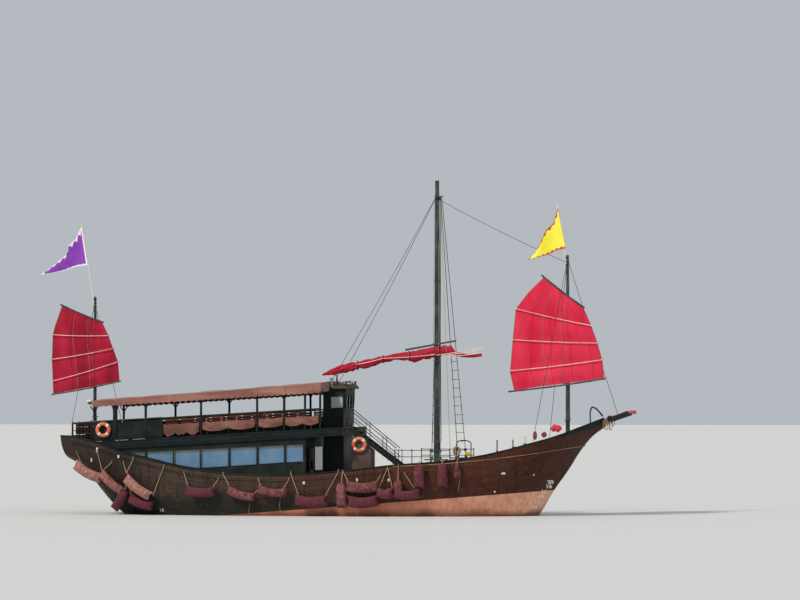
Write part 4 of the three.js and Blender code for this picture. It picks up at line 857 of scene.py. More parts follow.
# The stem and keel timbers carry the same paint line across
def keelFinish():
    material, tree, shader, place = newMaterial("paintedKeelTimber")
    rise, height = hullForm["bootTop"]
    split = addNode(tree, "SeparateXYZ", {0: place})
    grain = addNode(tree, "TexNoise", {
        "Vector": addNode(tree, "Mapping", {"Vector": place, "Scale": (0.5, 8.0, 6.0)}),
        "Scale": 3.0, "Detail": 8.0, "Roughness": 0.65})
    tone = addNode(tree, "MapRange", {0: grain, 1: 0.3, 2: 0.7, 3: 0.7, 4: 1.25})
    bootTop = addNode(tree, "Math", {0: split.outputs[0], 1: rise, 2: height}, operation="MULTIPLY_ADD")
    below = addNode(tree, "Math", {0: bootTop, 1: split.outputs[2]}, operation="SUBTRACT")
    paintEdge = addNode(tree, "MapRange", {0: below, 1: -0.012, 2: 0.012})
    both = addNode(tree, "Mix", {0: paintEdge, 6: "#43211a", 7: "#b8705a"})
    toned = addNode(tree, "Mix", {0: 1.0, 6: both, 7: tone}, blend_type="MULTIPLY")
    bump = addNode(tree, "Bump", {"Height": grain, "Strength": 0.5, "Distance": 0.008})
    feed(tree, shader, {"Base Color": toned, "Roughness": 0.6, "Normal": bump})
    return material


keelTimber = keelFinish()

# Masts: where each is stepped, its thickness at foot and head, heights of its hoops
masts = {
    "mast_main": {
        "x": 4.91, "foot": 2.34, "top": 16.4, "thick": 0.17, "thin": 0.10, "bands": (3.1, 7.9, 11.5, 15.5)},
    "mast_fore": {
        "x": 11.42, "foot": 3.45, "top": 12.7, "thick": 0.11, "thin": 0.065, "bands": (4.6, 11.9, 12.4)},
    "mast_mizzen": {
        "x": -12.59, "foot": 3.57, "top": 10.8, "thick": 0.10, "thin": 0.06, "bands": (4.4, 10.1, 10.5)},
}
flagPoles = {
    "mast_fore": {"low": (11.40, 0, 12.10), "high": (10.886, 0, 15.316), "thick": 0.032, "thin": 0.018},
    "mast_mizzen": {"low": (-12.60, 0, 10.20), "high": (-13.324, 0, 14.538), "thick": 0.032, "thin": 0.018},
}


def buildMasts():
    for name, mast in masts.items():
        bm = bmesh.new()
        addRod(bm, (mast["x"], 0, mast["foot"]), (mast["x"], 0, mast["top"]), mast["thick"], mast["thin"],
               sides=32)
        addBall(bm, (mast["x"], 0, mast["top"]), mast["thin"] * 1.15, (1, 1, 0.55), fine=24)
        for z in mast["bands"]:  # iron hoops driven on
            t = (z - mast["foot"]) / (mast["top"] - mast["foot"])
            r = lerp(mast["thick"], mast["thin"], t)
            addRod(bm, (mast["x"], 0, z - 0.035), (mast["x"], 0, z + 0.035), r + 0.012, sides=32, slot=1)
        x, foot, r = mast["x"], mast["foot"], mast["thick"]
        addRod(bm, (x, 0, foot + 0.01), (x, 0, foot + 0.12), r + 0.09, r + 0.03, sides=32, slot=1)
        for side in (-1, 1):  # cleats for the halyards
            y, z = side * (r + 0.045), foot + 1.25
            addRod(bm, (x - 0.14, y, z), (x + 0.14, y, z), 0.018, sides=8)
            addRod(bm, (x, side * (r - 0.03), z), (x, side * (r + 0.05), z), 0.022, sides=8)
        if name in flagPoles:
            pole = flagPoles[name]
            addRod(bm, pole["low"], pole["high"], pole["thick"], pole["thin"], sides=12, slot=2)
            addBall(bm, pole["high"], 0.032, fine=12, slot=2)
            x, z = pole["low"][0], pole["low"][2]
            for up in (0.15, 0.5):  # lashings that hold the pole to the masthead
                addRod(bm, (x, 0, z + up - 0.03), (x, 0, z + up + 0.03), 0.085, sides=16, slot=1)
        if name == "mast_main":
            addBeam(bm, (4.82, 0, 15.66), (5.18, 0, 15.66), 0.46, 0.06, ease=0.01)
            for side in (-1, 1):
                addBall(bm, (5.05, side * 0.15, 15.56), 0.07, (0.6, 1, 1), fine=12, slot=1)
        makePiece(name + "_dressed", bm, [mastPaint, castIron, whitePaint],
                  stands=[name])


buildMasts()

rig = {
    "shroudFeet": ((5.30, -3.23, 2.765), (5.72, -3.23, 2.765)),
    "shroudHeads": ((5.06, -0.17, 15.59), (5.12, -0.15, 15.59)),
    "ratlines": (3.18, 7.8, 0.44),  # from, to, spacing
    "shroudThick": 0.016,
    "shroudLong": 12.8,
}


def buildShrouds():
    bm = bmesh.new()
    ropes = [(Vector(a), Vector(b)) for a, b in zip(rig["shroudFeet"], rig["shroudHeads"])]
    at = [lambda z, a=a, b=b: a.lerp(b, (z - a.z) / (b.z - a.z)) for a, b in ropes]
    for a, b in ropes:
        addTube(bm, [a.lerp(b, t) for t in spanOf(0.03, 1, 8)], rig["shroudThick"])
        deadeyes = [a.lerp(b, up / rig["shroudLong"]) for up in (0.08, 0.42)]
        for p in deadeyes:
            addRod(bm, p - Vector((0, 0.035, 0)), p + Vector((0, 0.035, 0)), 0.075, sides=16, slot=1)
        for shift in (-0.03, 0, 0.03):  # lanyard between them
            addTube(bm, [p + Vector((shift, 0, 0)) for p in deadeyes], 0.009, sides=5, slot=2)
    z, last, spacing = rig["ratlines"]
    while z < last:
        p, q = at[0](z), at[1](z)
        reach = (q - p).normalized() * 0.05
        addTube(bm, hangBetween(p - reach, q + reach, 0.02, 4), 0.013, sides=5, slot=1)
        z += spacing
    a, b = ropes[0][0], ropes[1][0]
    # channel board
    addBeam(bm, a + Vector((-0.35, 0.03, 0)), b + Vector((0.35, 0.03, 0)), 0.13, 0.06, slot=1)
    for p in (a, b):  # chain plates
        addBeam(bm, p + Vector((0, 0.0, -0.02)), p + Vector((0, -0.06, -0.55)), 0.05, 0.02, slot=3,
                up=(0, 1, 0))
    mirrorPort(bm)
    return makePiece("shrouds", bm, [darkRope, mastPaint, paleRope, castIron],
                     stands=["shrouds_stbd", "shrouds_port"])


buildShrouds()
print("masts stepped")

# Running and standing lines that are held taut, by start, end and sag
lines = {
    "tarred": (
        ((4.86, 0.05, 15.6), (11.42, 0.05, 12.35), 0.10), ((4.83, -0.05, 15.6), (-0.3, -0.9, 6.45), 0.12),
        ((4.83, 0.05, 15.6), (-0.3, 0.9, 6.45), 0.12), ((11.45, 0, 12.45), (13.9, 0, 4.93), 0.03),
        ((-12.62, -0.03, 10.45), (-13.2, -1.95, 4.55), 0.02),
        ((-12.62, 0.03, 10.45), (-13.2, 1.95, 4.55), 0.02),
        ((11.38, -0.03, 12.35), (10.1, -2.25, 3.66), 0.02), ((11.38, 0.03, 12.35), (10.1, 2.25, 3.66), 0.02),
        ((-12.56, -0.03, 10.3), (-11.9, -2.5, 4.45), 0.02), ((-12.56, 0.03, 10.3), (-11.9, 2.5, 4.45), 0.02),
    ),
    "manila": (
        ((4.99, -0.13, 15.5), (5.06, -0.19, 3.62), 0.0), ((4.80, -0.13, 15.5), (4.74, -0.2, 3.62), 0.0),
        ((4.99, 0.13, 15.5), (5.08, 0.19, 3.62), 0.0), ((5.10, -0.12, 15.5), (6.2, -3.05, 2.72), 0.02),
        ((11.50, -0.08, 12.3), (11.56, -0.12, 4.72), 0.0), ((11.36, 0.08, 12.3), (11.3, 0.13, 4.72), 0.0),
        ((-12.50, -0.07, 10.3), (-12.48, -0.11, 4.85), 0.0),
    ),
}


def buildLines():
    bm = bmesh.new()
    for slot, (kind, runs) in enumerate(lines.items()):
        for start, end, sag in runs:
            addTube(bm, hangBetween(start, end, sag, 12), 0.012 if kind == "tarred" else 0.011, sides=6,
                    slot=slot)
    return makePiece("standing_lines", bm, [darkRope, paleRope])


buildLines()

# Sails: the outline that each is cut to, and its spars
sails = {
    "fore": {
        "plane": -0.27, "mastX": masts["mast_fore"]["x"],
        "hoop": 0.19, "belly": 0.30, "body": "fore_sail", "cloth": sailRed,
        "foot": [(8.82, 6.11), (10.18, 6.32), (11.19, 6.44), (13.25, 6.70)],
        "luff": [(13.25, 6.70), (13.161, 7.556), (12.908, 8.446), (12.604, 9.286), (12.19, 10.22)],
        "leech": [(8.82, 6.11), (8.62, 7.036), (8.755, 8.571), (8.907, 10.107), (9.52, 10.89),
                  (10.31, 11.65)],
        "yard": ((10.18, 11.75), (12.30, 10.14), 0.045),
        "battens": [((8.83, 10.14), (12.69, 9.268), 0.018), ((8.51, 8.622), (13.0, 8.422), 0.018),
                    ((8.55, 7.075), (13.23, 7.615), 0.018)],
        "boom": ((8.52, 6.06), (13.33, 6.695), 0.042),
        "flat": (4.7, 5.6),
    },
    "mizzen": {
        "plane": -0.24, "mastX": masts["mast_mizzen"]["x"],
        "hoop": 0.165, "belly": 0.22, "body": "mizzen_sail",
        "cloth": shadedSailRed,
        "foot": [(-14.68, 5.98), (-13.90, 6.11), (-13.0, 6.27), (-11.27, 6.60)],
        "luff": [(-11.27, 6.60), (-11.353, 7.569), (-11.606, 8.236), (-11.859, 8.903), (-12.18, 9.56)],
        "leech": [(-14.68, 5.98), (-14.71, 6.659), (-14.76, 7.649), (-14.71, 8.937), (-14.58, 9.432),
                  (-14.23, 10.40)],
        "yard": ((-14.33, 10.45), (-12.08, 9.54), 0.038),
        "battens": [((-14.80, 8.937), (-11.81, 8.878), 0.016), ((-14.80, 7.69), (-11.54, 8.24), 0.016),
                    ((-14.74, 6.60), (-11.30, 7.57), 0.016)],
        "boom": ((-14.80, 5.93), (-11.19, 6.60), 0.036),
        "flat": (3.5, 4.2),
    },
}


def alongPath(path, t):
    sizes = [math.dist(a, b) for a, b in zip(path, path[1:])]
    left = t * sum(sizes)
    for (a, b), size in zip(zip(path, path[1:]), sizes):
        if left <= size or (a, b) == (path[-2], path[-1]):
            return Vector(a).lerp(Vector(b), min(left / size, 1))
        left -= size


# The cloth bellies between its battens, and creases fan out from their ends
def sailPoint(sail, u, v):
    leech, luff = alongPath(sail["leech"], v), alongPath(sail["luff"], v)
    across = leech.lerp(luff, u)
    if v < 0.2:  # the foot keeps its own curve
        foot = alongPath(sail["foot"], u)
        base = alongPath(sail["leech"], 0).lerp(alongPath(sail["luff"], 0), u)
        across += (foot - base) * (1 - v / 0.2)
    x, z = across
    rows = sorted([sail["boom"], *sail["battens"], sail["yard"]],
                  key=lambda r: r[0][1] + r[1][1])
    levels = [a[1] + (b[1] - a[1]) * (x - a[0]) / (b[0] - a[0]) for a, b, r in rows]
    held = 1.0
    for low, high in zip(levels, levels[1:]):
        if low <= z <= high:
            held = math.sin(math.pi * (z - low) / (high - low))
            break
    else:
        held = 0.0
    wind = math.sin(math.pi * min(max(u, 0), 1)) ** 0.7
    bag = sail["belly"] * wind * (0.45 * held + 0.12)
    pleat = 0.018 * math.sin(9.5 * x + 2.1 * z) * held * wind
    slant = x * 1.5 + z * 0.7  # creases run down and aft, from the yard to the foot
    drag = 0.05 * noise.noise(Vector((slant * 1.6, (z - x) * 0.25, sail["mastX"]))) * (0.3 + held)
    crease = pleat * 0.6
    return x, sail["plane"] - min(bag * 0.5, 0.11) * held - crease - min(max(drag, -0.02), 0.02) * 0.8, z


def buildSails():
    for name, sail in sails.items():
        bm = bmesh.new()
        width, height = sail["flat"]
        addCloth(bm, 56, 72, lambda u, v: sailPoint(sail, u, v), size=(width, height))
        faceOut(bm)
        piece = makePiece("sail_" + name + "_cloth", bm, [sail["cloth"]], body=sail["body"],
                          stands=["sail_" + name], sharp=80)

        bm = bmesh.new()
        plane = sail["plane"]
        sag = 0.02
        rows = [sail["yard"], *sail["battens"], sail["boom"]]
        for index, (a, b, r) in enumerate(rows):
            single = index in (0, len(rows) - 1)
            for side in ([0] if single else [-1, 1]):
                y = plane + side * (0.018 + r) - (0.06 if side < 0 else 0)
                joints = 7
                points = [(lerp(a[0], b[0], t), y, lerp(a[1], b[1], t) - sag * math.sin(math.pi * t) * 2)
                          for t in spanOf(0, 1, joints * 3)]
                # knuckles of the cane
                radii = [r * (1.12 if i % 3 == 0 else 0.96) for i in range(len(points))]
                addTube(bm, points, radii, sides=10, slot=0 if single else 1)
            if not single:
                for end in (a, b):
                    addTube(bm, [(end[0], plane - 0.13, end[1]), (end[0], plane + 0.08, end[1])], r * 0.8,
                            sides=6, slot=2)
            z = a[1] + (b[1] - a[1]) * (sail["mastX"] - a[0]) / (b[0] - a[0])
            if index:
                addRing(bm, (sail["mastX"], 0, z), (0, 0, 1), sail["hoop"], 0.016, around=32)
                addTube(bm, [(sail["mastX"], plane + 0.03, z), (sail["mastX"], -sail["hoop"], z)], 0.016,
                        sides=6, slot=2)
        for edge in (0, 1):  # bolt ropes sewn to leech and luff
            track = [sailPoint(sail, edge, v) for v in spanOf(0, 1, 40)]
            addTube(bm, [(x + (edge - 0.5) * 0.02, y, z) for x, y, z in track], 0.012, sides=5,
                    slot=2 + (edge == 1))
        # sewn-on tack lines crossing the cloth
        for u, lean in ((0.33, 0.05), (0.62, -0.06)):
            track = [sailPoint(sail, u + lean * (1 - v), v) for v in spanOf(0.02, 0.93, 30)]
            addTube(bm, [(x, y - 0.012, z) for x, y, z in track], 0.008, sides=5, slot=2)
        makePiece("spars_" + name + "_dressed", bm, [mastPaint, bamboo, paleRope, redTie], body=sail["body"],
                  stands=["spars_" + name])


buildSails()
print("sails set")

# The main sail, furled in its lazy stack along the yard: x, middle z, half height, half width
furled = {
    "rows": [
        (-0.80, 6.90, 0.05, 0.045), (-0.275, 7.05, 0.185, 0.12), (0.267, 7.20, 0.24, 0.15),
        (0.85, 7.32, 0.225, 0.165), (1.55, 7.46, 0.225, 0.165), (2.30, 7.66, 0.19, 0.165),
        (3.00, 7.79, 0.175, 0.16), (3.50, 7.81, 0.24, 0.16), (3.862, 7.80, 0.31, 0.165),
        (4.405, 7.899, 0.292, 0.165), (4.88, 8.01, 0.29, 0.165), (5.219, 8.07, 0.28, 0.16),
        (5.70, 8.105, 0.248, 0.15), (5.80, 8.03, 0.17, 0.125), (5.931, 7.909, 0.116, 0.11),
        (6.576, 7.803, 0.09, 0.09), (7.22, 7.859, 0.10, 0.06),
    ],
    "y": -0.40,
    "folds": 7,  # layers that lie on each other
    "foldDepth": 0.2,
    "gaskets": (1.0, 2.3, 3.6, 5.1),
    "yard": ((3.40, 8.12), (5.95, 8.56), 0.05),
    "battens": (((0.95, 7.40), (2.30, 7.702)), ((2.28, 7.70), (4.95, 7.888)), ((5.00, 7.85), (7.437, 8.26)),
                ((5.25, 7.828), (7.366, 8.129)), ((5.50, 7.782), (7.30, 7.965))),
    "battenY": -0.615,
    "battenThick": 0.019,
    "hoop": 0.23,
}


def furledRing(x, sides=56):
    x0, z, high, wide = tableAt(furled["rows"], x)
    nip = min(abs(x - g) for g in furled["gaskets"])
    pinch = 1 - 0.2 * math.exp(-(nip / 0.16) ** 2)
    ring = []
    for i in range(sides):
        turn = 2 * math.pi * i / sides
        layer = abs(math.sin(furled["folds"] * turn / 2 + 0.5 * math.sin(x * 1.3) + 0.25 * x))
        rough = noise.noise(Vector((x * 2.2, math.cos(turn) * 1.4, math.sin(turn) * 1.4 + 3)))
        crumple = noise.noise(Vector((x * 5.5, math.cos(turn) * 1.3, math.sin(turn) * 1.3)))
        swell = pinch * (0.92 - furled["foldDepth"] * (1 - layer) ** 1.5 + 0.2 * rough + 0.3 * crumple)
        swell = min(swell, 1.0)
        ring.append((x0, furled["y"] + wide * math.cos(turn) * swell, z + high * math.sin(turn) * swell))
    return ring


def buildFurledSail():
    bm = bmesh.new()
    first, last = furled["rows"][0][0], furled["rows"][-1][0]
    addSkin(bm, [furledRing(x) for x in spanOf(first, last, 150)])
    faceOut(bm)
    piece = makePiece("sail_main_bundle", bm, [litFurledRed], body="main_sail",
                      stands=["sail_main"], sharp=80)

    bm = bmesh.new()
    y = furled["y"]
    a, b, r = furled["yard"]
    addRod(bm, (a[0], y, a[1]), (b[0], y, b[1]), r, r * 0.8, sides=20)
    for a, b in furled["battens"]:
        path = [(lerp(a[0], b[0], t), furled["battenY"], lerp(a[1], b[1], t) - 0.03 * math.sin(math.pi * t))
                for t in spanOf(0, 1, 36)]
        radii = [furled["battenThick"] * (1.1 if i % 3 == 0 else 0.94) for i in range(len(path))]
        addTube(bm, path, radii, sides=10, slot=1)
    low, high, r = furled["yard"]
    for x in furled["gaskets"]:
        x0, z, tall, wide = tableAt(furled["rows"], x)
        for shift in (-0.012, 0.012):
            loop = [(x + shift, y + (wide + 0.006) * 0.93 * math.cos(t),
                     z + (tall + 0.006) * 0.93 * math.sin(t)) for t in spanOf(0, 2 * math.pi, 30)]
            addTube(bm, loop, 0.012, sides=6, slot=3)
        top = lerp(low[1], high[1], (x - low[0]) / (high[0] - low[0]))
        hung = [(x, furled["battenY"] - 0.02, z - 0.8 * tall), (x, furled["battenY"] - 0.03, z + tall * 0.4),
                (x, furled["battenY"] + 0.02, z + tall + 0.04), (x, y, top)]
        underYard = x > low[0]
        addTube(bm, hung if underYard else hung[:3], 0.009, sides=6, slot=2 if underYard else 3)
    x, hoop = masts["mast_main"]["x"], furled["hoop"]
    z = tableAt(furled["rows"], x)[1] + 0.4
    addRing(bm, (x, 0, z), (0, 0, 1), hoop, 0.018, around=36)
    addTube(bm, [(x, -hoop, z), (x, y, z - 0.07)], 0.02, sides=8)
    makePiece("spars_main_dressed", bm, [mastPaint, bamboo, paleRope, redTie], body="main_sail",
              stands=["spars_main"])


buildFurledSail()
print("main sail furled")

# Pennants: upper and lower edge from hoist to fly, flames of the other colour along both
pennants = {
    "stern": {
        "upper": [(-13.29, 14.40), (-13.62, 13.75), (-13.98, 13.42), (-14.05, 12.95), (-14.62, 12.52),
                  (-15.05, 12.21), (-15.43, 11.96)],
        "lower": [(-12.975, 12.43), (-13.55, 12.36), (-14.15, 12.17), (-14.80, 12.02), (-15.426, 11.951)],
        "cloth": purpleCloth, "border": whiteCloth, "slot": "purple_cloth", "pole": "mast_mizzen_dressed",
        "flames": 9,
        "tongues": (0.02, 0.13), "sleeve": 0.035,  # how far they reach at the lower and the upper edge
    },
    "fore": {
        "upper": [(10.935, 15.01), (10.72, 14.30), (10.36, 13.95), (10.10, 13.35), (9.86, 12.95),
                  (9.66, 12.70), (9.45, 12.50)],
        "lower": [(11.32, 13.06), (10.90, 12.98), (10.40, 12.75), (9.90, 12.62), (9.442, 12.485)],
        "cloth": yellowCloth, "border": redCloth, "slot": "yellow_cloth", "pole": "mast_fore_dressed",
        "flames": 8, "tongues": (0.05, 0.08), "sleeve": 0.0,
    },
}


def pennantPoint(flag, u, v):
    up, down = alongPath(flag["upper"], u), alongPath(flag["lower"], u)
    x, z = down.lerp(up, v)
    wave = (0.07 * math.sin(5.2 * u + 1.6 * v) + 0.035 * math.sin(11 * u - 2 * v + 1)) * min(1, u * 3)
    return x, -0.04 + wave, z


# Tongues of the border colour lick inwards from both edges and from the fly
def buildPennants():
    for name, flag in pennants.items():
        bm = bmesh.new()
        width, height = 2.6, 2.1
        addCloth(bm, 150, 72, lambda u, v: pennantPoint(flag, u, v), size=(width, height))
        weave = bm.loops.layers.uv["cloth"]
        for face in bm.faces:
            u = sum(loop[weave].uv.x for loop in face.loops) / 4 / width
            v = sum(loop[weave].uv.y for loop in face.loops) / 4 / height
            lick = abs((u * flag["flames"] + 0.35 * math.sin(9 * v)) % 1 - 0.5) * 2
            low, high = flag["tongues"]
            deep = (0.04 + high * lick ** 1.6) * (1 + 0.6 * u)
            shallow = (0.035 + low * lick ** 1.6) * (1 + 0.6 * u)
            face.material_index = 1 if v < shallow or 1 - v < deep or u > 0.92 or u < flag["sleeve"] else 0
        bmesh.ops.remove_doubles(bm, verts=bm.verts[:], dist=0.0004)
        faceOut(bm)
        piece = makePiece("pennant_" + name + "_cloth", bm, [flag["cloth"], flag["border"]],
                          stands=["pennant_" + name], sharp=80)
        bm = bmesh.new()
        a, b = (Vector((flag[edge][0][0], -0.03, flag[edge][0][1])) for edge in ("upper", "lower"))
        for t in spanOf(0.03, 0.97, 6):  # ties to the pole
            p = a.lerp(b, t)
            addTube(bm, [p + Vector((-0.02, -0.012, 0)), p + Vector((0.03, 0.03, 0.02))], 0.006, sides=5)
        makePiece("pennant_" + name + "_ties", bm, [paleRope])


buildPennants()

# Canvas awning, drawn over its bows, with a scalloped valance all round
awning = {
    "aft": -11.86, "front": -0.30, "half": 2.92, "camber": 0.13,
    "crown": (-5.6, 6.19, 0.0745), "foot": (-6.3, 5.63, 0.0594),  # lines along the ridge and the valance
    "scallop": 0.289,  # metres from point to point
    "scallopDeep": 0.055,
    "bows": (-11.85, -10.74, -9.17, -6.36, -3.52, -2.15, -1.11, -0.35),
}


def awningTop(x, y):
    spread = abs(y) / awning["half"]
    near = min(abs(x - b) for b in awning["bows"])
    slack = 0.035 * min(near / 0.6, 1) ** 2 * math.cos(spread * math.pi / 2) ** 0.5 if spread < 1 else 0.0
    drag = 0.012 * noise.noise(Vector((x * 0.8, y * 1.1, 2)))
    return lineAt(awning["crown"], x) - awning["camber"] * spread ** 2 - slack + drag * (1 - spread)


def crownPoint(u, v):
    x, y = lerp(awning["aft"], awning["front"], u), lerp(-awning["half"], awning["half"], v)
    return x, y, awningTop(x, y)


def scallopAt(along):
    return awning["scallopDeep"] * abs(math.sin(math.pi * along / awning["scallop"])) ** 0.6


def valancePoint(side, u, v):
    x = lerp(awning["aft"], awning["front"], u)
    top = awningTop(x, awning["half"])
    low = lineAt(awning["foot"], x) + awning["scallopDeep"] - scallopAt(x - awning["aft"])
    swing = 0.02 * noise.noise(Vector((x * 1.7, side, 5))) * (1 - v) + 0.006 * math.sin(x * 14) * (1 - v)
    return x, side * (awning["half"] - 0.004 + swing), lerp(low, top, v)


def endValance(x, u, v):
    y = lerp(-awning["half"], awning["half"], u) * 0.998
    top = awningTop(x, y)
    edge = lineAt(awning["foot"], x) + awning["scallopDeep"]
    low = edge + (top - awningTop(x, awning["half"])) * 0.85 - scallopAt(y + awning["half"])
    return x, y, lerp(low, top, v)


def buildAwning():
    bm = bmesh.new()
    length, width = awning["front"] - awning["aft"], awning["half"] * 2
    addCloth(bm, 150, 40, crownPoint, size=(length, width))
    for side in (-1, 1):
        addCloth(bm, 480, 5, lambda u, v: valancePoint(side, u, v), size=(length, 0.4))
    for x in (awning["aft"], awning["front"]):
        addCloth(bm, 240, 5, lambda u, v: endValance(x, u, v), size=(width, 0.4))
    bmesh.ops.remove_doubles(bm, verts=bm.verts[:], dist=0.002)
    faceOut(bm)
    piece = makePiece("awning_cloth", bm, [awningCloth], stands=["awning"], sharp=60)


buildAwning()
print("awning spread")

promenadeLine = (-6.4, 3.92, 0.058)  # the upper deck's sheer


def deckAt(x):
    return lineAt(promenadeLine, x)


def onDeck(x, y, up):
    return x, y, deckAt(x) + up


def headerAt(x):
    return lineAt(awning["crown"], x) - awning["camber"] - 0.13


# Weather cloths laced along the promenade rail: the after one gathered, the others slack
dodgers = {
    "spans": [(-8.25, -6.45), (-6.27, -3.62), (-3.43, -2.22), (-2.08, -0.42)],
    "swags": (3, 2, 1, 2),  # lengths between lacings in each cloth
    "pleats": (22, 0, 0, 0),
    "foot": (0.17, 0.27, 0.27, 0.27),
    "y": -2.852,
    "top": 0.65, "topDip": 0.04, "footDip": 0.10,
}


def dodgerPoint(index, u, v):
    start, end = dodgers["spans"][index]
    x = lerp(start, end, u)
    between = (u * dodgers["swags"][index]) % 1  # 0 at a lacing, 1 at the next
    bow = math.sin(math.pi * between)
    rough = noise.noise(Vector((x * 2.3, v * 1.5, index)))
    rim = dodgers["top"] - dodgers["topDip"] * bow
    hem = dodgers["foot"][index] - dodgers["footDip"] * bow * (1 + 0.6 * rough)
    if dodgers["pleats"][index]:
        hem += 0.05 * noise.noise(Vector((x * 7, 1, 2)))
        y = 0.02 * math.sin(2 * math.pi * (dodgers["pleats"][index] * u + 0.8 * rough)) * (1.15 - 0.5 * v)
    else:
        ripple = 0.016 * math.sin(7 * v + 6 * between + 3 * rough)
        y = ripple * (1 - 0.4 * bow) + 0.02 * bow * math.sin(math.pi * v)
    return onDeck(x, dodgers["y"] - y, lerp(hem, rim, v))


def buildDodgers():
    bm = bmesh.new()
    for index, span in enumerate(dodgers["spans"]):
        addCloth(bm, int((span[1] - span[0]) * 90), 16, lambda u, v: dodgerPoint(index, u, v),
                 size=(span[1] - span[0], 0.42))
    mirrorPort(bm)
    faceOut(bm)
    piece = makePiece("dodger_cloths", bm, [dodgerCloth],
                      stands=["dodgers_stbd", "dodgers_port"], sharp=80)


buildDodgers()

# Fenders: kapok sacks sewn in old canvas. x and z of one end, x and z of the other, radius, how faded
fenders = {
    "rows": [
        (-12.596, 2.409, -11.482, 1.821, 0.29, 0.8), (-11.279, 1.990, -10.317, 1.184, 0.25, 0.6),
        (-9.912, 1.730, -8.899, 0.993, 0.28, 0.9), (-10.165, 1.136, -10.874, 0.341, 0.265, 0.25),
        (-9.810, 0.789, -8.848, 0.472, 0.275, 0.15), (-6.718, 1.216, -5.553, 1.173, 0.27, 0.08),
        (-4.641, 1.223, -3.527, 0.931, 0.245, 0.45), (-3.122, 1.281, -1.957, 1.138, 0.245, 0.4),
        (-1.197, 0.774, 0.069, 0.756, 0.32, 0.12), (0.930, 1.553, 0.930, 0.563, 0.255, 0.45),
        (1.335, 1.456, 2.601, 1.463, 0.30, 0.4), (1.386, 0.738, 2.601, 0.770, 0.32, 0.15),
        (2.804, 1.168, 3.361, 1.171, 0.29, 0.3), (3.614, 1.098, 4.627, 1.104, 0.265, 0.25),
        (3.716, 1.718, 3.716, 1.223, 0.215, 0.4), (4.757, 2.470, 4.757, 1.527, 0.255, 0.3),
        (5.896, 2.500, 5.896, 1.533, 0.245, 0.25), (6.605, 2.576, 6.605, 1.982, 0.175, 0.35),
    ],
    "off": 0.055,  # sack to planking
    "around": 28,
    "along": 40,
}
# Lanyards: x and height of the head on the planking, x and height of the foot on the sack
lanyards = (
    (-12.70, 3.05, -12.50, 2.45), (-11.57, 3.12, -11.29, 2.16), (-10.80, 2.58, -11.29, 2.16),
    (-10.17, 2.55, -9.97, 2.06), (-9.65, 2.76, -9.97, 2.06), (-9.97, 2.06, -10.10, 1.26),
    (-9.97, 2.06, -9.86, 0.98), (-8.06, 2.41, -8.66, 0.94), (-7.03, 2.07, -6.79, 1.50),
    (-5.29, 1.76, -5.52, 1.40), (-5.04, 2.02, -4.66, 1.45), (-3.14, 1.45, -3.38, 1.12),
    (-3.25, 1.74, -3.08, 1.36), (-1.735, 1.77, -1.96, 1.34), (-1.64, 2.07, -1.21, 1.02),
    (0.737, 2.18, 0.12, 1.00), (0.93, 2.16, 0.93, 1.60), (0.99, 2.12, 1.27, 1.70), (2.81, 1.97, 2.68, 1.72),
    (3.17, 2.38, 2.80, 1.42), (3.17, 2.38, 3.45, 1.36), (3.70, 2.46, 3.716, 1.76), (4.02, 2.07, 4.55, 1.32),
    (4.72, 2.60, 4.757, 2.49), (5.85, 2.70, 5.896, 2.52), (6.60, 2.80, 6.605, 2.60),
)


def fenderSpot(x, z, r):
    side = sideAt(x, z)
    flare = (sideAt(x, z + 0.05) - sideAt(x, z - 0.05)) / 0.1
    taper = (sideAt(x + 0.05, z) - sideAt(x - 0.05, z)) / 0.1
    return Vector((x, -side - (r + fenders["off"]) * math.hypot(1, flare, taper), z))


def fenderEnds(row):
    return fenderSpot(row[0], row[1], row[4]), fenderSpot(row[2], row[3], row[4])


# A sack is a cloth tube sewn flat at both ends, slung by its upper corners: its middle sags and fills out
def fenderRing(low, high, r, t, seed):
    along = (high - low).normalized()
    out = Vector((0, -1, 0))
    out = (out - along * out.dot(along)).normalized()
    wide = along.cross(out)
    if wide.z < -0.01:
        wide.negate()
    upright = abs(along.z) > 0.9
    size = (high - low).length
    place = low + along * (-0.25 * r + (size + 0.5 * r) * t)
    belly = math.sin(math.pi * t) ** 0.5
    deep = r * (0.20 + 0.74 * belly)
    share = (0.62 + 0.36 * min(t / 0.25, 1) ** 0.7) if upright else 0.96 - 0.05 * belly
    if upright and r < 0.2:
        share = 0.30 + 0.68 * min(t / 0.7, 1) ** 0.8
    ring = []
    for k in range(fenders["around"]):
        a = 2 * math.pi * k / fenders["around"]
        across = math.sin(a)
        square = math.copysign(abs(across) ** 0.75, across)
        pleat = 0.07 * math.sin(2 * math.pi * (6.5 * t + 0.3 * across) + seed) * (1.1 - 0.7 * belly)
        lump = 0.12 * noise.noise(Vector((t * 3.2 * size + seed, across * 1.3, math.cos(a) * 1.3)))
        half = r * share * (square + 0.4 * lump)
        if across < 0 and not upright:  # the weight draws the lower corners in
            half *= 1 - 0.42 * (1 - belly) ** 1.5
        sag = 0.0
        if not upright:
            sag = r * 0.34 * math.sin(math.pi * t) * (1 if across > 0 else 0.45) * (0.6 + 0.4 * abs(across))
        droop = 0.0
        if t > 0.86:
            droop = r * 0.42 * abs(across) ** 2 * (t - 0.86) / 0.14
        elif t < 0.14 and not upright:
            droop = -r * 0.30 * abs(across) ** 2 * (0.14 - t) / 0.14
        ring.append(place + along * droop + out * (math.cos(a) * deep * (1 + lump) + r * pleat) + wide * half
                    - Vector((0, 0, sag)))
    return ring


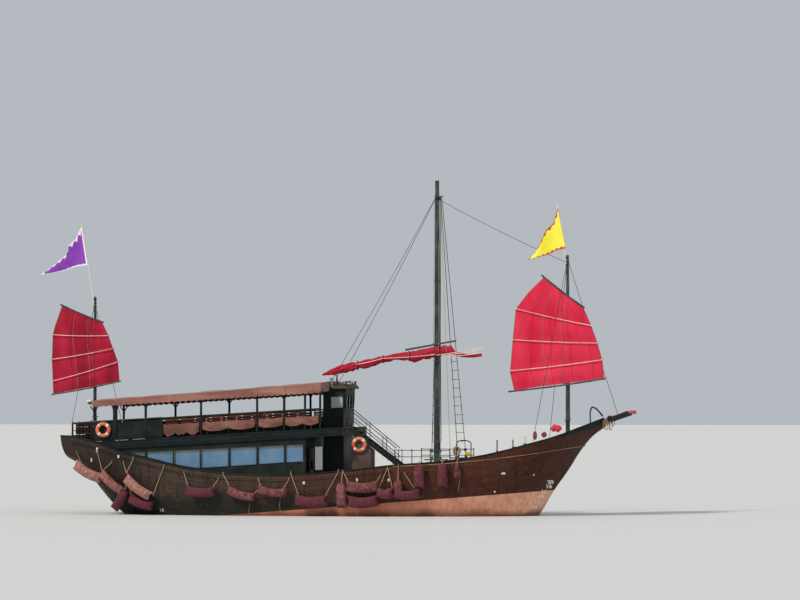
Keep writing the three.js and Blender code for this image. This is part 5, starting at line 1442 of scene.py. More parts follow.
def buildFenders():
    bm = bmesh.new()
    fade = bm.verts.layers.float.new("faded")
    for seed, row in enumerate(fenders["rows"]):
        low, high = fenderEnds(row)
        before = set(bm.verts)
        addSkin(bm, [fenderRing(low, high, row[4], t, seed * 1.7) for t in spanOf(0, 1, fenders["along"])])
        for vert in bm.verts:
            if vert not in before:
                vert[fade] = row[5]
    mirrorPort(bm)
    faceOut(bm)
    piece = makePiece("fender_sacks", bm, [fenderCanvas],
                      stands=["fenders_stbd", "fenders_port"], sharp=70)

    bm = bmesh.new()
    for x0, z0, x1, z1 in lanyards:
        head = Vector((x0, -sideAt(x0, z0) - 0.03, z0))
        foot = Vector((x1, -sideAt(x1, z1) - 0.26, z1))
        middle = head.lerp(foot, 0.55)
        middle.y = min(middle.y, -sideAt(middle.x, middle.z) - 0.05)
        addTube(bm, [head, head.lerp(middle, 0.5), middle, foot], 0.019, sides=8)
        addRod(bm, head + Vector((-0.01, 0.03, -0.02)), head + Vector((0.01, -0.05, 0.10)), 0.03, 0.022,
               sides=10, slot=1)
        for turn in (0.0, 0.025):
            addRing(bm, foot.lerp(head, 0.05 + turn), head - foot, 0.026, 0.011, around=14, sides=6)
    mirrorPort(bm)
    makePiece("fender_lanyards", bm, [paleRope, seatEdge])


buildFenders()


# Loose rope tails below some of the fenders
tails = {
    "length": 0.62, "thick": 0.018,
    "places": ((6.66, 1.88), (-3.71, 0.66), (-2.16, 0.90)),
}


def buildTails():
    for index, (x, z) in enumerate(tails["places"]):
        top = fenderSpot(x, z, 0.0) - Vector((0, 0.09, 0))
        path = [top + Vector((0.03 * math.sin(5 * t + index), -0.01 * math.sin(4 * t), -tails["length"] * t))
                for t in spanOf(0, 1, 24)]
        bm = bmesh.new()
        addTube(bm, path, tails["thick"] / 2, sides=8)
        faceOut(bm)
        piece = makePiece("fender_tail_" + str(index + 1), bm, [paleRope])


buildTails()
print("fenders hung")

# Lifebuoys with four pale bands and a grab line
lifebuoys = {
    "lifebuoy_aft": {"middle": (-11.33, -2.85, 4.19)},
    "lifebuoy_stair": {"middle": (1.45, -2.095, 3.47)},
}
buoyForm = {"ring": 0.289, "tube": 0.088, "bands": 4, "bandHalf": 0.16, "line": 0.01}


def buildLifebuoys():
    for name, buoy in lifebuoys.items():
        bm = bmesh.new()
        middle = Vector(buoy["middle"])
        ring, tube = buoyForm["ring"], buoyForm["tube"]
        addRing(bm, middle, (0, 1, 0), ring, tube * 0.985, around=64, sides=20)
        for face in bm.faces:
            away = face.calc_center_median() - middle
            turn = math.atan2(away.z, away.x) + math.pi / 4
            step = (turn / (math.pi / 2)) % 1
            if min(step, 1 - step) * math.pi / 2 < buoyForm["bandHalf"]:
                face.material_index = 1
        band = ring + tube + 0.004
        for k in range(4):
            a, b = math.pi / 2 * k - math.pi / 4, math.pi / 2 * (k + 1) - math.pi / 4
            loop = []
            for t in spanOf(0, 1, 14):
                out = band + 0.03 * math.sin(math.pi * t)
                turn = lerp(a, b, t)
                out = min(out, ring + 0.098)
                loop.append(middle + Vector((math.cos(turn) * out, 0, math.sin(turn) * out)))
            addTube(bm, loop, buoyForm["line"] / 2 + 0.002, sides=6, slot=2)
        faceOut(bm)
        makePiece(name + "_dressed", bm, [buoyOrange, whitePaint, paleRope],
                  stands=[name])


buildLifebuoys()

# Promenade side: posts, header, rails, boarded screen aft
promenade = {
    "aft": -11.90, "front": -0.30, "bend": -10.73, "half": 2.75, "halfAft": 2.63,
    "posts": (-11.85, -9.17, -6.36, -3.52, -2.15, -1.11, -0.35), "post": 0.10,
    "heavyPost": -10.74, "heavy": 0.19,
    "stanchions": (-8.34, -7.74, -4.96),
    "rails": ((0.26, 0.034), (0.60, 0.034), (0.96, 0.068)),  # height above the deck, thickness
    "sternPosts": [(-11.98, -2.60), (-13.15, -2.01), (-13.15, 2.01), (-11.98, 2.60)],
    "betweenPosts": [(-13.15, -0.8), (-13.15, 0.8)],
    "screenTo": -8.34, "boards": (0.10, 0.22, 0.34, 0.46, 0.58, 0.70, 0.82), "board": 0.124,
}


def sideLine(x):
    return lerp(promenade["halfAft"], promenade["half"],
                min(max((x - promenade["aft"]) / (promenade["bend"] - promenade["aft"]), 0), 1))


def addAlongSide(bm, level, width, height, start=None, end=None, slot=0, ease=0.006, out=0.0):
    start = promenade["aft"] if start is None else start
    end = promenade["front"] if end is None else end
    knots = [start, promenade["bend"], end] if start < promenade["bend"] < end else [start, end]
    for a, b in zip(knots, knots[1:]):
        addBeam(bm, (a, -sideLine(a) - out, level(a)), (b, -sideLine(b) - out, level(b)), width, height,
                ease, slot)


def buildPromenade():
    bm = bmesh.new()
    size = promenade["post"]
    for x in promenade["posts"]:
        y = -sideLine(x)
        addBeam(bm, onDeck(x, y, 0.006), (x, y, headerAt(x) - 0.1), size * 0.96, size * 0.96, 0.008)
        for side in (-1, 1):  # knees under the header
            addBeam(bm, (x + side * 0.03, y, headerAt(x) - 0.36), (x + side * 0.20, y, headerAt(x) - 0.12),
                    0.045, 0.05)
    for x in promenade["stanchions"]:
        addBeam(bm, onDeck(x, -sideLine(x), 0.006), onDeck(x, -sideLine(x), 0.95), 0.056, 0.056, 0.006)
    addAlongSide(bm, lambda x: headerAt(x) - 0.05, 0.08, 0.11, ease=0.01)
    for up, thick in promenade["rails"]:
        addAlongSide(bm, lambda x: deckAt(x) + up, thick, thick)
    addAlongSide(bm, lambda x: deckAt(x) + 1.007, 0.10, 0.026, end=promenade["screenTo"], slot=1, ease=0.008)
    for up in promenade["boards"]:
        addAlongSide(bm, lambda x: deckAt(x) + up, 0.022, promenade["board"], end=promenade["screenTo"],
                     slot=2, ease=0.004, out=0.012)
    mirrorPort(bm)
    x, wide = promenade["heavyPost"], promenade["heavy"]
    y, top = -sideLine(x), headerAt(x)
    for side, thick in ((-1, wide), (1, size)):  # the starboard one is heavier, under a corbelled head
        foot = Vector((x, side * -y, deckAt(x) + 0.01))
        addBeam(bm, foot, (x, foot.y, top - 0.1), thick, thick, 0.012)
    for step, spread in ((0.42, 0.0), (0.33, 0.03), (0.24, 0.06), (0.15, 0.09)):
        addBeam(bm, (x, y, top - step), (x, y, top - step + 0.1), wide + spread * 2, wide + 0.02, 0.01)
    makePiece("promenade_rails", bm, [darkPaint, wornEdge, darkPaint],
              stands=["upper_frame_stbd", "upper_frame_port"])

    bm = bmesh.new()  # rail round the stern
    sternPosts = promenade["sternPosts"]
    for x, y in sternPosts + promenade["betweenPosts"]:
        addBeam(bm, onDeck(x, y, 0.006), onDeck(x, y, 0.98), 0.075, 0.075, 0.008)
        addBall(bm, onDeck(x, y, 1.03), 0.04, fine=12)
    addBeam(bm, (-13.20, -2.07, deckAt(-13.2) + 0.1), (-13.20, -2.07, deckAt(-13.2) + 0.62), 0.05, 0.05,
            slot=2)
    for (x0, y0), (x1, y1) in zip(sternPosts, sternPosts[1:]):
        for up, thick in promenade["rails"]:
            addBeam(bm, onDeck(x0, y0, up), onDeck(x1, y1, up), thick * 0.7, thick)
        addBeam(bm, onDeck(x0, y0, 1.005), onDeck(x1, y1, 1.005), 0.09, 0.025, slot=1)
    makePiece("stern_rail_dressed", bm, [darkPaint, wornEdge, whitePaint],
              stands=["stern_rail"])


buildPromenade()

# Slatted seats on boarded lockers along both sides, and the bench across the stern
seats = {
    "first": -8.25, "spacing": 0.79, "count": 9, "long": 0.70, "outer": 2.53,
    "backs": ((0.47, 0.10), (0.59, 0.10), (0.71, 0.10), (0.83, 0.10)), "slats": (2.46, 2.36, 2.26, 2.15),
    "slat": 0.082, "front": 2.095, "locker": 2.315,
}
sternBench = {"x": -13.03, "half": 1.80, "backs": ((0.53, 0.17), (0.70, 0.15), (0.86, 0.15)),
              "slats": (-12.94, -12.83, -12.72, -12.61)}


# A board along a seat from end to end, less an inset
def addSeatBoard(bm, a, b, inset, y, up, wide, high, ease=0.006, slot=0):
    addBeam(bm, (a + inset, y, deckAt(a) + up), (b - inset, y, deckAt(b) + up), wide, high, ease, slot)


def buildSeats():
    bm = bmesh.new()
    for k in range(seats["count"]):
        a = seats["first"] + k * seats["spacing"]
        b, y = a + seats["long"], -seats["outer"]
        for x in (a + 0.06, b - 0.06):
            addBeam(bm, onDeck(x, y + 0.015, 0.34), onDeck(x, y + 0.015, 0.95), 0.05, 0.03)
        for up, high in seats["backs"]:
            addSeatBoard(bm, a, b, 0.0, y - 0.012, up, 0.022, high, 0.005)
        addSeatBoard(bm, a, b, 0.0, y - 0.008, 0.934, 0.045, 0.026, 0.008, slot=1)
        for inboard in seats["slats"]:
            addSeatBoard(bm, a, b, 0.03, -inboard, 0.455, seats["slat"], 0.026)
        addSeatBoard(bm, a, b, 0.04, -seats["front"], 0.425, 0.03, 0.075, slot=1)
        for board in range(3):
            addSeatBoard(bm, a, b, 0.02, -seats["locker"], 0.064 + 0.114 * board, 0.40, 0.11, 0.005, slot=2)
        y = -seats["locker"]
        for x in (a + 0.02, b - 0.02):
            addBeam(bm, onDeck(x, y, 0.01), onDeck(x, y, 0.36), 0.035, 0.42, 0.005, slot=2)
    addBeam(bm, onDeck(-8.29, -2.50, 0.372), onDeck(-1.26, -2.50, 0.372), 0.07, 0.05, slot=2)
    mirrorPort(bm)
    makePiece("side_seats", bm, [slatTimber, seatEdge, darkPaint],
              stands=["seats_stbd", "seats_port"])

    bm = bmesh.new()
    x, half = sternBench["x"], sternBench["half"]
    floor = deckAt(x)
    for up, high in sternBench["backs"]:
        addBeam(bm, (x - 0.012, -half, floor + up), (x - 0.012, half, floor + up), 0.024, high, 0.006)
    for y in (-1.7, -0.6, 0.6, 1.7):
        addBeam(bm, (x + 0.012, y, floor + 0.02), (x + 0.012, y, floor + 0.96), 0.06, 0.035)
    for board in range(3):  # boarded locker under the seat
        up = 0.066 + 0.124 * board
        addBeam(bm, onDeck(-12.82, -1.77, up), onDeck(-12.82, 1.77, up), 0.455, 0.12, 0.006, slot=2)
    for at in sternBench["slats"]:
        runs = ((-half, -0.16), (0.16, half)) if at > -12.80 else ((-half, half),)  # room for the mast
        for y0, y1 in runs:
            addBeam(bm, onDeck(at, y0, 0.425), onDeck(at, y1, 0.425), 0.095, 0.028, 0.006)
    for y0, y1 in ((-half, -0.16), (0.16, half)):
        addBeam(bm, (-12.565, y0, deckAt(-12.56) + 0.415), (-12.565, y1, deckAt(-12.56) + 0.415), 0.024,
                0.09, slot=3)
    makePiece("stern_bench_dressed", bm, [slatTimber, seatEdge, darkPaint, wornEdge],
              stands=["stern_bench"])


buildSeats()
print("promenade railed and seated")

# Fascia mouldings: worn battens at its upper edge, in the lengths that are left, and a plain one below
fascia = {
    "plan": ((-13.25, 2.06), (-12.90, 2.36), (-12.30, 2.61), (-11.85, 2.705), (-11.38, 2.90), (-10.88, 2.98),
             (-10.665, 2.995), (-10.64, 3.15), (0.60, 3.15)),
    "deep": 0.42,
    "worn": ((-12.85, -12.25), (-12.18, -11.35), (-10.60, -10.42), (-10.38, -9.95), (-9.72, -9.10)),
}


def addEdging(bm, start, end, drop, high, proud, slot):
    knots = [start] + [x for x, y in fascia["plan"] if start < x < end] + [end]
    spots = [(x, -tableAt(fascia["plan"], x)[1] - proud / 2, deckAt(x) - drop) for x in knots]
    for a, b in zip(spots, spots[1:]):
        addBeam(bm, a, b, proud, high, min(0.006, proud / 3), slot)


def buildFascia():
    bm = bmesh.new()
    addEdging(bm, -13.25, 0.60, 0.045, 0.07, 0.022, 0)
    addEdging(bm, -13.25, 0.60, fascia["deep"] - 0.03, 0.055, 0.03, 0)
    addEdging(bm, -10.64, 0.60, 0.30, 0.02, 0.014, 0)
    for a, b in fascia["worn"]:
        addEdging(bm, a, b, 0.012, 0.034, 0.034, 1)
    mirrorPort(bm)
    for x, half in ((-13.25, 2.06), (0.60, 3.15)):
        way = -1 if x < 0 else 1
        for drop, high in ((0.045, 0.07), (fascia["deep"] - 0.03, 0.055)):
            addBeam(bm, (x + way * 0.011, -half, deckAt(x) - drop),
                    (x + way * 0.011, half, deckAt(x) - drop), 0.022, high)
    makePiece("fascia_mouldings", bm, [fasciaPaint, wornEdge])


buildFascia()

# Saloon: mullion boards, sill and head beads, curtains behind the forward panes, benches and tables within
saloon = {
    "aft": -10.60, "front": -1.02, "half": 3.06, "floor": 1.35,
    "mullions": (-2.04, -3.43, -4.85, -6.29, -7.66, -9.08, -10.16), "mullion": 0.10,
    "glassTop": (-7.4, 3.205, 0.05), "sill": (-6.2, 2.31, 0.065), "benches": -2.62, "tables": -1.6,
    "curtains": ((-1.75, -1.38), (-3.30, -2.85), (-2.55, -2.15)),
}


def glassTopAt(x):
    return lineAt(saloon["glassTop"], x)


# The panes stand on the sill, or on the cap rail where that is higher
def paneFootAt(x):
    return min(max(lineAt(saloon["sill"], x), sheerAt(x) + 0.01), glassTopAt(x) - 0.015)


def buildSaloonTrim():
    bm = bmesh.new()
    y = -saloon["half"] - 0.011
    for x in saloon["mullions"]:
        addBeam(bm, (x, y, paneFootAt(x) - 0.02), (x, y, glassTopAt(x) + 0.04), saloon["mullion"], 0.022,
                0.005)
    ends = [saloon["front"] - 0.11] + list(saloon["mullions"]) + [saloon["aft"] + 0.1]
    for right, left in zip(ends, ends[1:]):
        a, b = left + 0.05, right - 0.05
        for level, high in ((lambda x: paneFootAt(x) + 0.012, 0.03),
                            (lambda x: glassTopAt(x) - 0.008, 0.026)):
            knots = spanOf(a, b, 4)
            for p, q in zip(knots, knots[1:]):
                addBeam(bm, (p, y + 0.004, level(p)), (q, y + 0.004, level(q)), 0.02, high, 0.004)
        if -9 < a < -6:  # pale strips along the after mullions' edges: a painted highlight
            addBeam(bm, (a - 0.012, y, paneFootAt(a) + 0.03), (a - 0.012, y, glassTopAt(a) - 0.03), 0.02,
                    0.026, 0.004, slot=1)
    mirrorPort(bm)
    makePiece("saloon_window_frames", bm, [darkPaint, wornEdge])

    bm = bmesh.new()
    area = 0.0
    for a, b in saloon["curtains"]:
        high = glassTopAt(a) - 0.03 - (paneFootAt(a) + 0.06)
        area += (b - a) * 1.3 * high
        addCloth(bm, 40, 10, lambda u, v: (
            lerp(a, b, u), -2.95 + 0.02 * math.sin(u * 38) * (0.5 + 0.5 * (1 - v)),
            lerp(paneFootAt(a) + 0.06, glassTopAt(a) - 0.03, v)), size=((b - a) * 1.3, high))
    mirrorPort(bm)
    faceOut(bm)
    piece = makePiece("saloon_curtains", bm, [curtainCloth], sharp=80)

    bm = bmesh.new()
    floor = saloon["floor"]
    y = saloon["benches"]
    for x in spanOf(-8.9, -2.3, 5):
        addBeam(bm, (x, y, floor + 0.43), (x + 1.05, y, floor + 0.43), 0.42, 0.05, 0.012)
        for leg in (x + 0.08, x + 0.97):
            addBeam(bm, (leg, y, floor + 0.003), (leg, y, floor + 0.41), 0.06, 0.36, 0.008)
    y = saloon["tables"]
    for x in (-8.2, -5.6, -3.0):
        addBeam(bm, (x, y, floor + 0.72), (x + 1.3, y, floor + 0.72), 0.7, 0.04, 0.012)
        for top, foot, head, sides in ((0.71, 0.05, 0.05, 16), (0.04, 0.24, 0.2, 24)):  # column and foot
            addRod(bm, (x + 0.65, y, floor + 0.003), (x + 0.65, y, floor + top), foot, head, sides=sides,
                   slot=1)
    mirrorPort(bm)
    makePiece("saloon_furniture", bm, [cabinTeak, castIron])


buildSaloonTrim()

# Wheelhouse: corner boards, window frames, drip edge, and the gear on its roof
house = {
    "aft": -0.62, "front": 0.43, "rake": 0.11, "half": 1.0, "sill": 0.95, "head": 1.56, "eave": 1.89,
    "windows": (-0.24, 0.40), "fore": (-0.61, 0.0, 0.61), "foreHalf": 0.26,
    "roof": {"aft": -0.74, "front": 0.70, "half": 1.15, "eave": 6.226},
    "vent": (-0.20, -0.95, 6.74), "horn": (0.46, -0.72), "lamp": (0.62, 0.0),
    "floods": ((0.58, -0.95), (0.58, 0.95)),
}


def houseFrontAt(up):
    return house["front"] + house["rake"] * up / house["eave"]


def roofTop(y):
    return house["roof"]["eave"] + tableAt(((0, 0.215), (0.52, 0.175), (1.15, 0.05)), abs(y))[1]


def buildHouseTrim():
    bm = bmesh.new()
    y = -house["half"] - 0.010
    sill, head, eave = house["sill"], house["head"], house["eave"]
    for x in (house["aft"] + 0.05, -0.30):
        addBeam(bm, onDeck(x, y, 0.02), onDeck(x, y, eave - 0.02), 0.09, 0.02, 0.005)
    foot, top = houseFrontAt(0) - 0.05, houseFrontAt(eave) - 0.05
    addBeam(bm, onDeck(foot, y, 0.02), onDeck(top, y, eave - 0.02), 0.1, 0.022, 0.005)
    for up, high in ((0.06, 0.10), (sill - 0.05, 0.05), (eave - 0.06, 0.10)):
        addBeam(bm, onDeck(house["aft"], y, up), (houseFrontAt(up) - 0.01, y, deckAt(0.45) + up),
                0.026, high, 0.005)
    for up in spanOf(0.2, sill - 0.16, 4):  # lap boards below the windows
        addBeam(bm, (house["aft"] + 0.1, y + 0.004, deckAt(-0.5) + up),
                (houseFrontAt(up) - 0.1, y + 0.004, deckAt(0.35) + up), 0.012, 0.135, 0.004)
    a, b = house["windows"]
    for up in (sill, head):
        addBeam(bm, (a - 0.03, y, deckAt(a) + up), (b + 0.03, y, deckAt(b) + up), 0.03, 0.05, 0.006)
    for x in (a, b):
        addBeam(bm, onDeck(x, y, sill), onDeck(x, y, head), 0.045, 0.028, 0.006)
    mirrorPort(bm)
    for y in house["fore"]:
        w = house["foreHalf"]
        for up in (sill, head):
            x = houseFrontAt(up) + 0.012
            addBeam(bm, (x, y - w - 0.03, deckAt(x) + up), (x, y + w + 0.03, deckAt(x) + up), 0.028, 0.05,
                    0.006)
        for side in (-w, w):
            low, high = houseFrontAt(sill) + 0.012, houseFrontAt(head) + 0.012
            addBeam(bm, onDeck(low, y + side, sill), onDeck(high, y + side, head), 0.03, 0.045, 0.006)
    makePiece("wheelhouse_trim", bm, [darkPaint])

    bm = bmesh.new()
    roof = house["roof"]
    for x in (roof["aft"] + 0.02, roof["front"] - 0.02):
        for y0, y1 in ((0, 0.52), (0.52, 1.15)):
            addBeam(bm, (x, -y1, roofTop(y1) + 0.012), (x, -y0, roofTop(y0) + 0.012), 0.045, 0.024, 0.006,
                    up=(0, 0, 1))
    addBeam(bm, (roof["aft"], -roof["half"] - 0.006, roof["eave"] + 0.02),
            (roof["front"], -roof["half"] - 0.006, roof["eave"] + 0.02), 0.03, 0.075, 0.008)
    for y in (0.3, 0.6, 0.9):  # battens over the seams
        addBeam(bm, (roof["aft"] + 0.05, -y, roofTop(y) + 0.006),
                (roof["front"] - 0.05, -y, roofTop(y) + 0.006), 0.05, 0.02)
    mirrorPort(bm)
    x, y, top = house["vent"]
    addRod(bm, (x, y, roofTop(y) - 0.02), (x, y, top - 0.05), 0.045, sides=20, slot=1)
    addBall(bm, (x, y, top - 0.04), 0.11, (1, 1, 0.45), slot=1, fine=24)
    addRod(bm, (x, y, roofTop(y) - 0.01), (x, y, roofTop(y) + 0.03), 0.09, 0.06, sides=20, slot=1)
    x, y = house["horn"]
    addRod(bm, (x, y, roofTop(y) - 0.02), (x, y, roofTop(y) + 0.16), 0.016, sides=10, slot=2)
    addRod(bm, (x - 0.18, y, roofTop(y) + 0.18), (x + 0.12, y, roofTop(y) + 0.18), 0.022, 0.026, sides=16,
           slot=2)
    addRod(bm, (x + 0.12, y, roofTop(y) + 0.18), (x + 0.24, y, roofTop(y) + 0.18), 0.026, 0.085, sides=20,
           slot=2)
    for x, y in house["floods"]:
        z = roofTop(y)
        addRod(bm, (x, y, z - 0.02), (x, y, z + 0.13), 0.014, sides=10, slot=2)
        addBeam(bm, (x - 0.05, y, z + 0.19), (x + 0.05, y, z + 0.175), 0.26, 0.17, 0.02, slot=2)
        addBeam(bm, (x + 0.045, y, z + 0.176), (x + 0.062, y, z + 0.173), 0.22, 0.13, 0.006, slot=3)
    x, y = house["lamp"]
    addRod(bm, (x, y, roofTop(y) - 0.02), (x, y, roofTop(y) + 0.09), 0.05, 0.04, sides=16, slot=2)
    addBall(bm, (x, y, roofTop(y) + 0.14), 0.075, fine=20, slot=3)
    makePiece("wheelhouse_roof_gear", bm, [roofBoards, galvanised, castIron, lampGlass])


buildHouseTrim()
print("saloon and wheelhouse trimmed")

# Stair: thin stringers, treads with nosings, two handrails a side
steps = {"top": (0.95, 4.346), "foot": (3.44, 2.335), "near": -1.975, "far": -1.125, "treads": 9,
         "rails": (0.84, 0.44)}


def stepAt(x):
    (x0, z0), (x1, z1) = steps["top"], steps["foot"]
    return z0 + (z1 - z0) * (x - x0) / (x1 - x0)


def buildStair():
    bm = bmesh.new()
    (x0, z0), (x1, z1) = steps["top"], steps["foot"]
    for y in (steps["near"], steps["far"]):
        addBeam(bm, (x0 - 0.02, y, z0 - 0.05), (x1, y, z1 + 0.11), 0.052, 0.20, 0.008)
        for up in steps["rails"]:
            slant = [(x, y, stepAt(x) + up) for x in (x0 + 0.06, x1 - 0.15)]
            addTube(bm, [(0.64, y, 4.33 + up), (x0, y, z0 + up), *slant], 0.021, sides=10, slot=1)
        for x in (0.645, x0, 1.78, 2.61, 3.385):
            level = min(stepAt(x), z0)
            addRod(bm, (x, y, level - 0.05), (x, y, level + 0.85), 0.019, sides=10, slot=1)
            addBall(bm, (x, y, level + 0.84), 0.03, fine=10, slot=1)
    for k in range(1, steps["treads"] + 1):
        x = x0 + (x1 - x0) * k / (steps["treads"] + 1)
        z = stepAt(x)
        addBeam(bm, (x - 0.01, steps["near"] + 0.02, z), (x - 0.01, steps["far"] - 0.02, z), 0.22, 0.034,
                0.01, slot=2)
        addBeam(bm, (x + 0.095, steps["near"] + 0.03, z + 0.019),
                (x + 0.095, steps["far"] - 0.03, z + 0.019), 0.03, 0.008, 0.002, slot=3)
    addBeam(bm, (0.61, -1.55, 4.295), (1.01, -1.55, 4.31), 0.86, 0.04, 0.01, slot=2)
    makePiece("stair_dressed", bm, [darkPaint, castIron, slatTimber, brass],
              stands=["stair"])


buildStair()

# Rails, hoop and short posts on the foredeck bulwarks
deckRail = {
    "posts": (3.46, 4.30, 5.20, 6.15), "bars": (2.90, 3.21), "inside": 0.27, "onCap": 0.07,
    "hoop": (6.52, 7.22, 3.70),  # its two ends and its top
    # short posts: x, top, radius, finish
    "stubs": ((8.46, 3.70, 0.03, 0), (9.20, 3.72, 0.028, 0), (9.76, 3.90, 0.05, 1)),
}


def railSpot(x, inside=deckRail["inside"]):
    return -(fairAt(x, 3) - inside)


def buildDeckRails():
    bm = bmesh.new()
    posts = deckRail["posts"]
    for x in posts:
        y, floor = railSpot(x), tableAt(sections, x)[4]
        addRod(bm, (x, y, floor + 0.003), (x, y, 3.23), 0.022, sides=10)
        addRod(bm, (x, y, floor + 0.003), (x, y, floor + 0.03), 0.05, sides=12)
        addBall(bm, (x, y, 3.24), 0.032, fine=10)
    for a, b in zip(posts, posts[1:]):
        for z in deckRail["bars"]:
            addRod(bm, (a, railSpot(a), z), (b, railSpot(b), z), 0.017, sides=10)
    mirrorPort(bm)
    a, b, top = deckRail["hoop"]
    low = sheerAt(a) - 0.02
    onCap = deckRail["onCap"]
    arch = [(a, railSpot(a, onCap), low)]
    for t in spanOf(0, math.pi, 12):
        x = lerp(a, b, 0.5 - 0.5 * math.cos(t))
        arch.append((x, railSpot(x, onCap), top - 0.16 + 0.16 * math.sin(t)))
    arch.append((b, railSpot(b, onCap), low + 0.05))
    addTube(bm, arch, 0.026, sides=12)
    for x, top, r, slot in deckRail["stubs"]:
        y = railSpot(x, onCap)
        addRod(bm, (x, y, sheerAt(x) - 0.01), (x, y, top), r, sides=12, slot=slot)
        addRod(bm, (x, y, sheerAt(x) - 0.005), (x, y, sheerAt(x) + 0.03), r * 2.2, sides=14)
        addBall(bm, (x, y, top), r * 1.2, (1, 1, 0.6), slot=slot, fine=10)
    makePiece("foredeck_rails", bm, [castIron, whitePaint],
              stands=["deck_rail_stbd", "deck_rail_port"])


buildDeckRails()
print("stair and foredeck rails set")

# Windlass: timber cheeks and barrel, whelps, handspike heads, a few turns of the anchor rope
windlass = {"x": 8.90, "z": 3.16, "barrel": 0.13, "half": 0.47, "head": 0.205, "whelps": 8,
            "cheek": 0.33, "turns": (-0.24, 0.24, 9)}


def buildWindlass():
    bm = bmesh.new()
    x, z, r = windlass["x"], windlass["z"], windlass["barrel"]
    addRod(bm, (x, -windlass["half"], z), (x, windlass["half"], z), r, sides=32, slot=1)
    for k in range(windlass["whelps"]):
        a = 2 * math.pi * k / windlass["whelps"]
        spot = Vector((x + (r + 0.012) * math.cos(a), 0, z + (r + 0.012) * math.sin(a)))
        out = (math.cos(a), 0, math.sin(a))
        addBeam(bm, spot - Vector((0, 0.26, 0)), spot + Vector((0, 0.26, 0)), 0.05, 0.03, 0.006, 1, up=out)
    for side in (-1, 1):
        y = side * windlass["cheek"]
        for a, b in (((8.66, 2.745), (8.86, 3.28)), ((9.14, 2.83), (8.94, 3.28))):
            addBeam(bm, (a[0], y, a[1] + 0.04), (b[0], y, b[1]), 0.1, 0.12, 0.01)
        addBeam(bm, (8.62, y, 2.775), (9.20, y, 2.875), 0.12, 0.07, 0.01)
        addBeam(bm, (x, y, z - 0.12), (x, y, z + 0.14), 0.2, 0.098, 0.01)
        addRod(bm, (x, side * windlass["half"], z), (x, side * 0.62, z), windlass["head"], sides=32, slot=1)
        for rim in (0.482, 0.608):
            addRing(bm, (x, side * rim, z), (0, 1, 0), windlass["head"], 0.011, around=40, sides=8)
        for k in range(4):  # handspike holes in the rims of the heads
            a = math.pi / 4 + math.pi / 2 * k
            out = Vector((math.cos(a), 0, math.sin(a)))
            spot = Vector((x, side * 0.545, z)) + out * windlass["head"]
            addBeam(bm, spot - out * 0.02, spot + out * 0.006, 0.06, 0.06, 0.004, 2, up=(0, 1, 0))
    start, end, count = windlass["turns"]
    wound = r + 0.045
    turns = [(x + wound * math.cos(2 * math.pi * t), lerp(start, end, t / count),
              z + wound * math.sin(2 * math.pi * t)) for t in spanOf(0, count, count * 16)]
    addTube(bm, turns, 0.02, sides=8, slot=3)
    makePiece("windlass_dressed", bm, [darkPaint, slatTimber, castIron, paleRope],
              stands=["windlass"])


buildWindlass()

# Bow: red caps and knobs on the beams, an iron arm, lashings
bow = {
    "beamFrom": (12.25, 4.21), "beamTo": (14.48, 5.01), "halfGap": 0.5, "beamHigh": 0.21,
    "knob": (14.63, 5.06, 0.10),
    "arm": ((12.60, 4.50), (12.58, 5.05), (12.66, 5.32), (12.88, 5.24), (13.10, 5.00), (13.20, 4.86)),
    "lashings": (13.28, 13.34, 13.40, 13.46),
}


def buildBow():
    bm = bmesh.new()
    (x0, z0), (x1, z1) = bow["beamFrom"], bow["beamTo"]
    along = Vector((x1 - x0, 0, z1 - z0)).normalized()
    up = Vector((-along.z, 0, along.x)) * (bow["beamHigh"] / 2 + 0.012)
    for side in (-1, 1):
        y = side * bow["halfGap"]
        a, b = Vector((x0 + 0.9, y, z0 + 0.9 * along.z / along.x)), Vector((x1, y, z1))
        addBeam(bm, a + up, b + up, 0.20, 0.022, 0.006)
        x, z, r = bow["knob"]
        addRod(bm, (x1 - 0.03, y, z1 + 0.02), (x, y, z), 0.05, sides=16)
        addBall(bm, (x, y, z), r, fine=24)
        addRing(bm, (x1 + 0.03, y, z1 + 0.03), along, 0.062, 0.016, around=24, sides=8)
        for x in bow["lashings"]:
            spot = Vector((x, y, z0 + (x - x0) * along.z / along.x))
            turn = turnedTo(along).to_3x3()
            loop = []
            for t in spanOf(0, 2 * math.pi, 24):
                c, s = math.cos(t), math.sin(t)
                square = 1 / max(abs(c), abs(s)) ** 0.8
                loop.append(spot + turn @ Vector((0, 0.115 * c * square, 0.125 * s * square)))
            addTube(bm, loop, 0.016, sides=6, slot=2)
        for x, deep in ((13.26, 0.30), (13.36, 0.40), (13.48, 0.24)):
            head = Vector((x, y * 1.24, z0 + (x - x0) * along.z / along.x - 0.05))
            addTube(bm, hangBetween(head, head + Vector((0.16, 0.02, 0.02)), deep, 14), 0.016, sides=6,
                    slot=2)
    arm = [Vector((x, -0.34, z)) for x, z in bow["arm"]]
    addTube(bm, [alongPath(arm, t) for t in spanOf(0, 1, 20)],
            [lerp(0.03, 0.045, t) for t in spanOf(0, 1, 20)], sides=12, slot=1)
    addBeam(bm, (13.56, -0.62, 4.86), (13.56, 0.62, 4.86), 0.12, 0.05, 0.01, slot=1)
    makePiece("bow_gear", bm, [redPaint, castIron, paleRope])


buildBow()

# Cloths and oilskins rolled and tied on the bulwark: middle, half length, half height, finish, slot
bundles = {
    "red_cloth_roll": ((11.17, -1.85, 4.28), 0.27, 0.21, brightRedCloth, "canvas"),
    "maroon_cloth_roll": ((10.62, -2.10, 3.97), 0.13, 0.16, maroonCloth, "canvas"),
    "faded_cloth_roll": ((10.20, -2.25, 3.93), 0.10, 0.23, maroonCloth, "canvas"),
    "yellow_cloth_roll": ((7.10, -3.12, 3.05), 0.19, 0.11, oldYellowCloth, "yellow_cloth"),
}


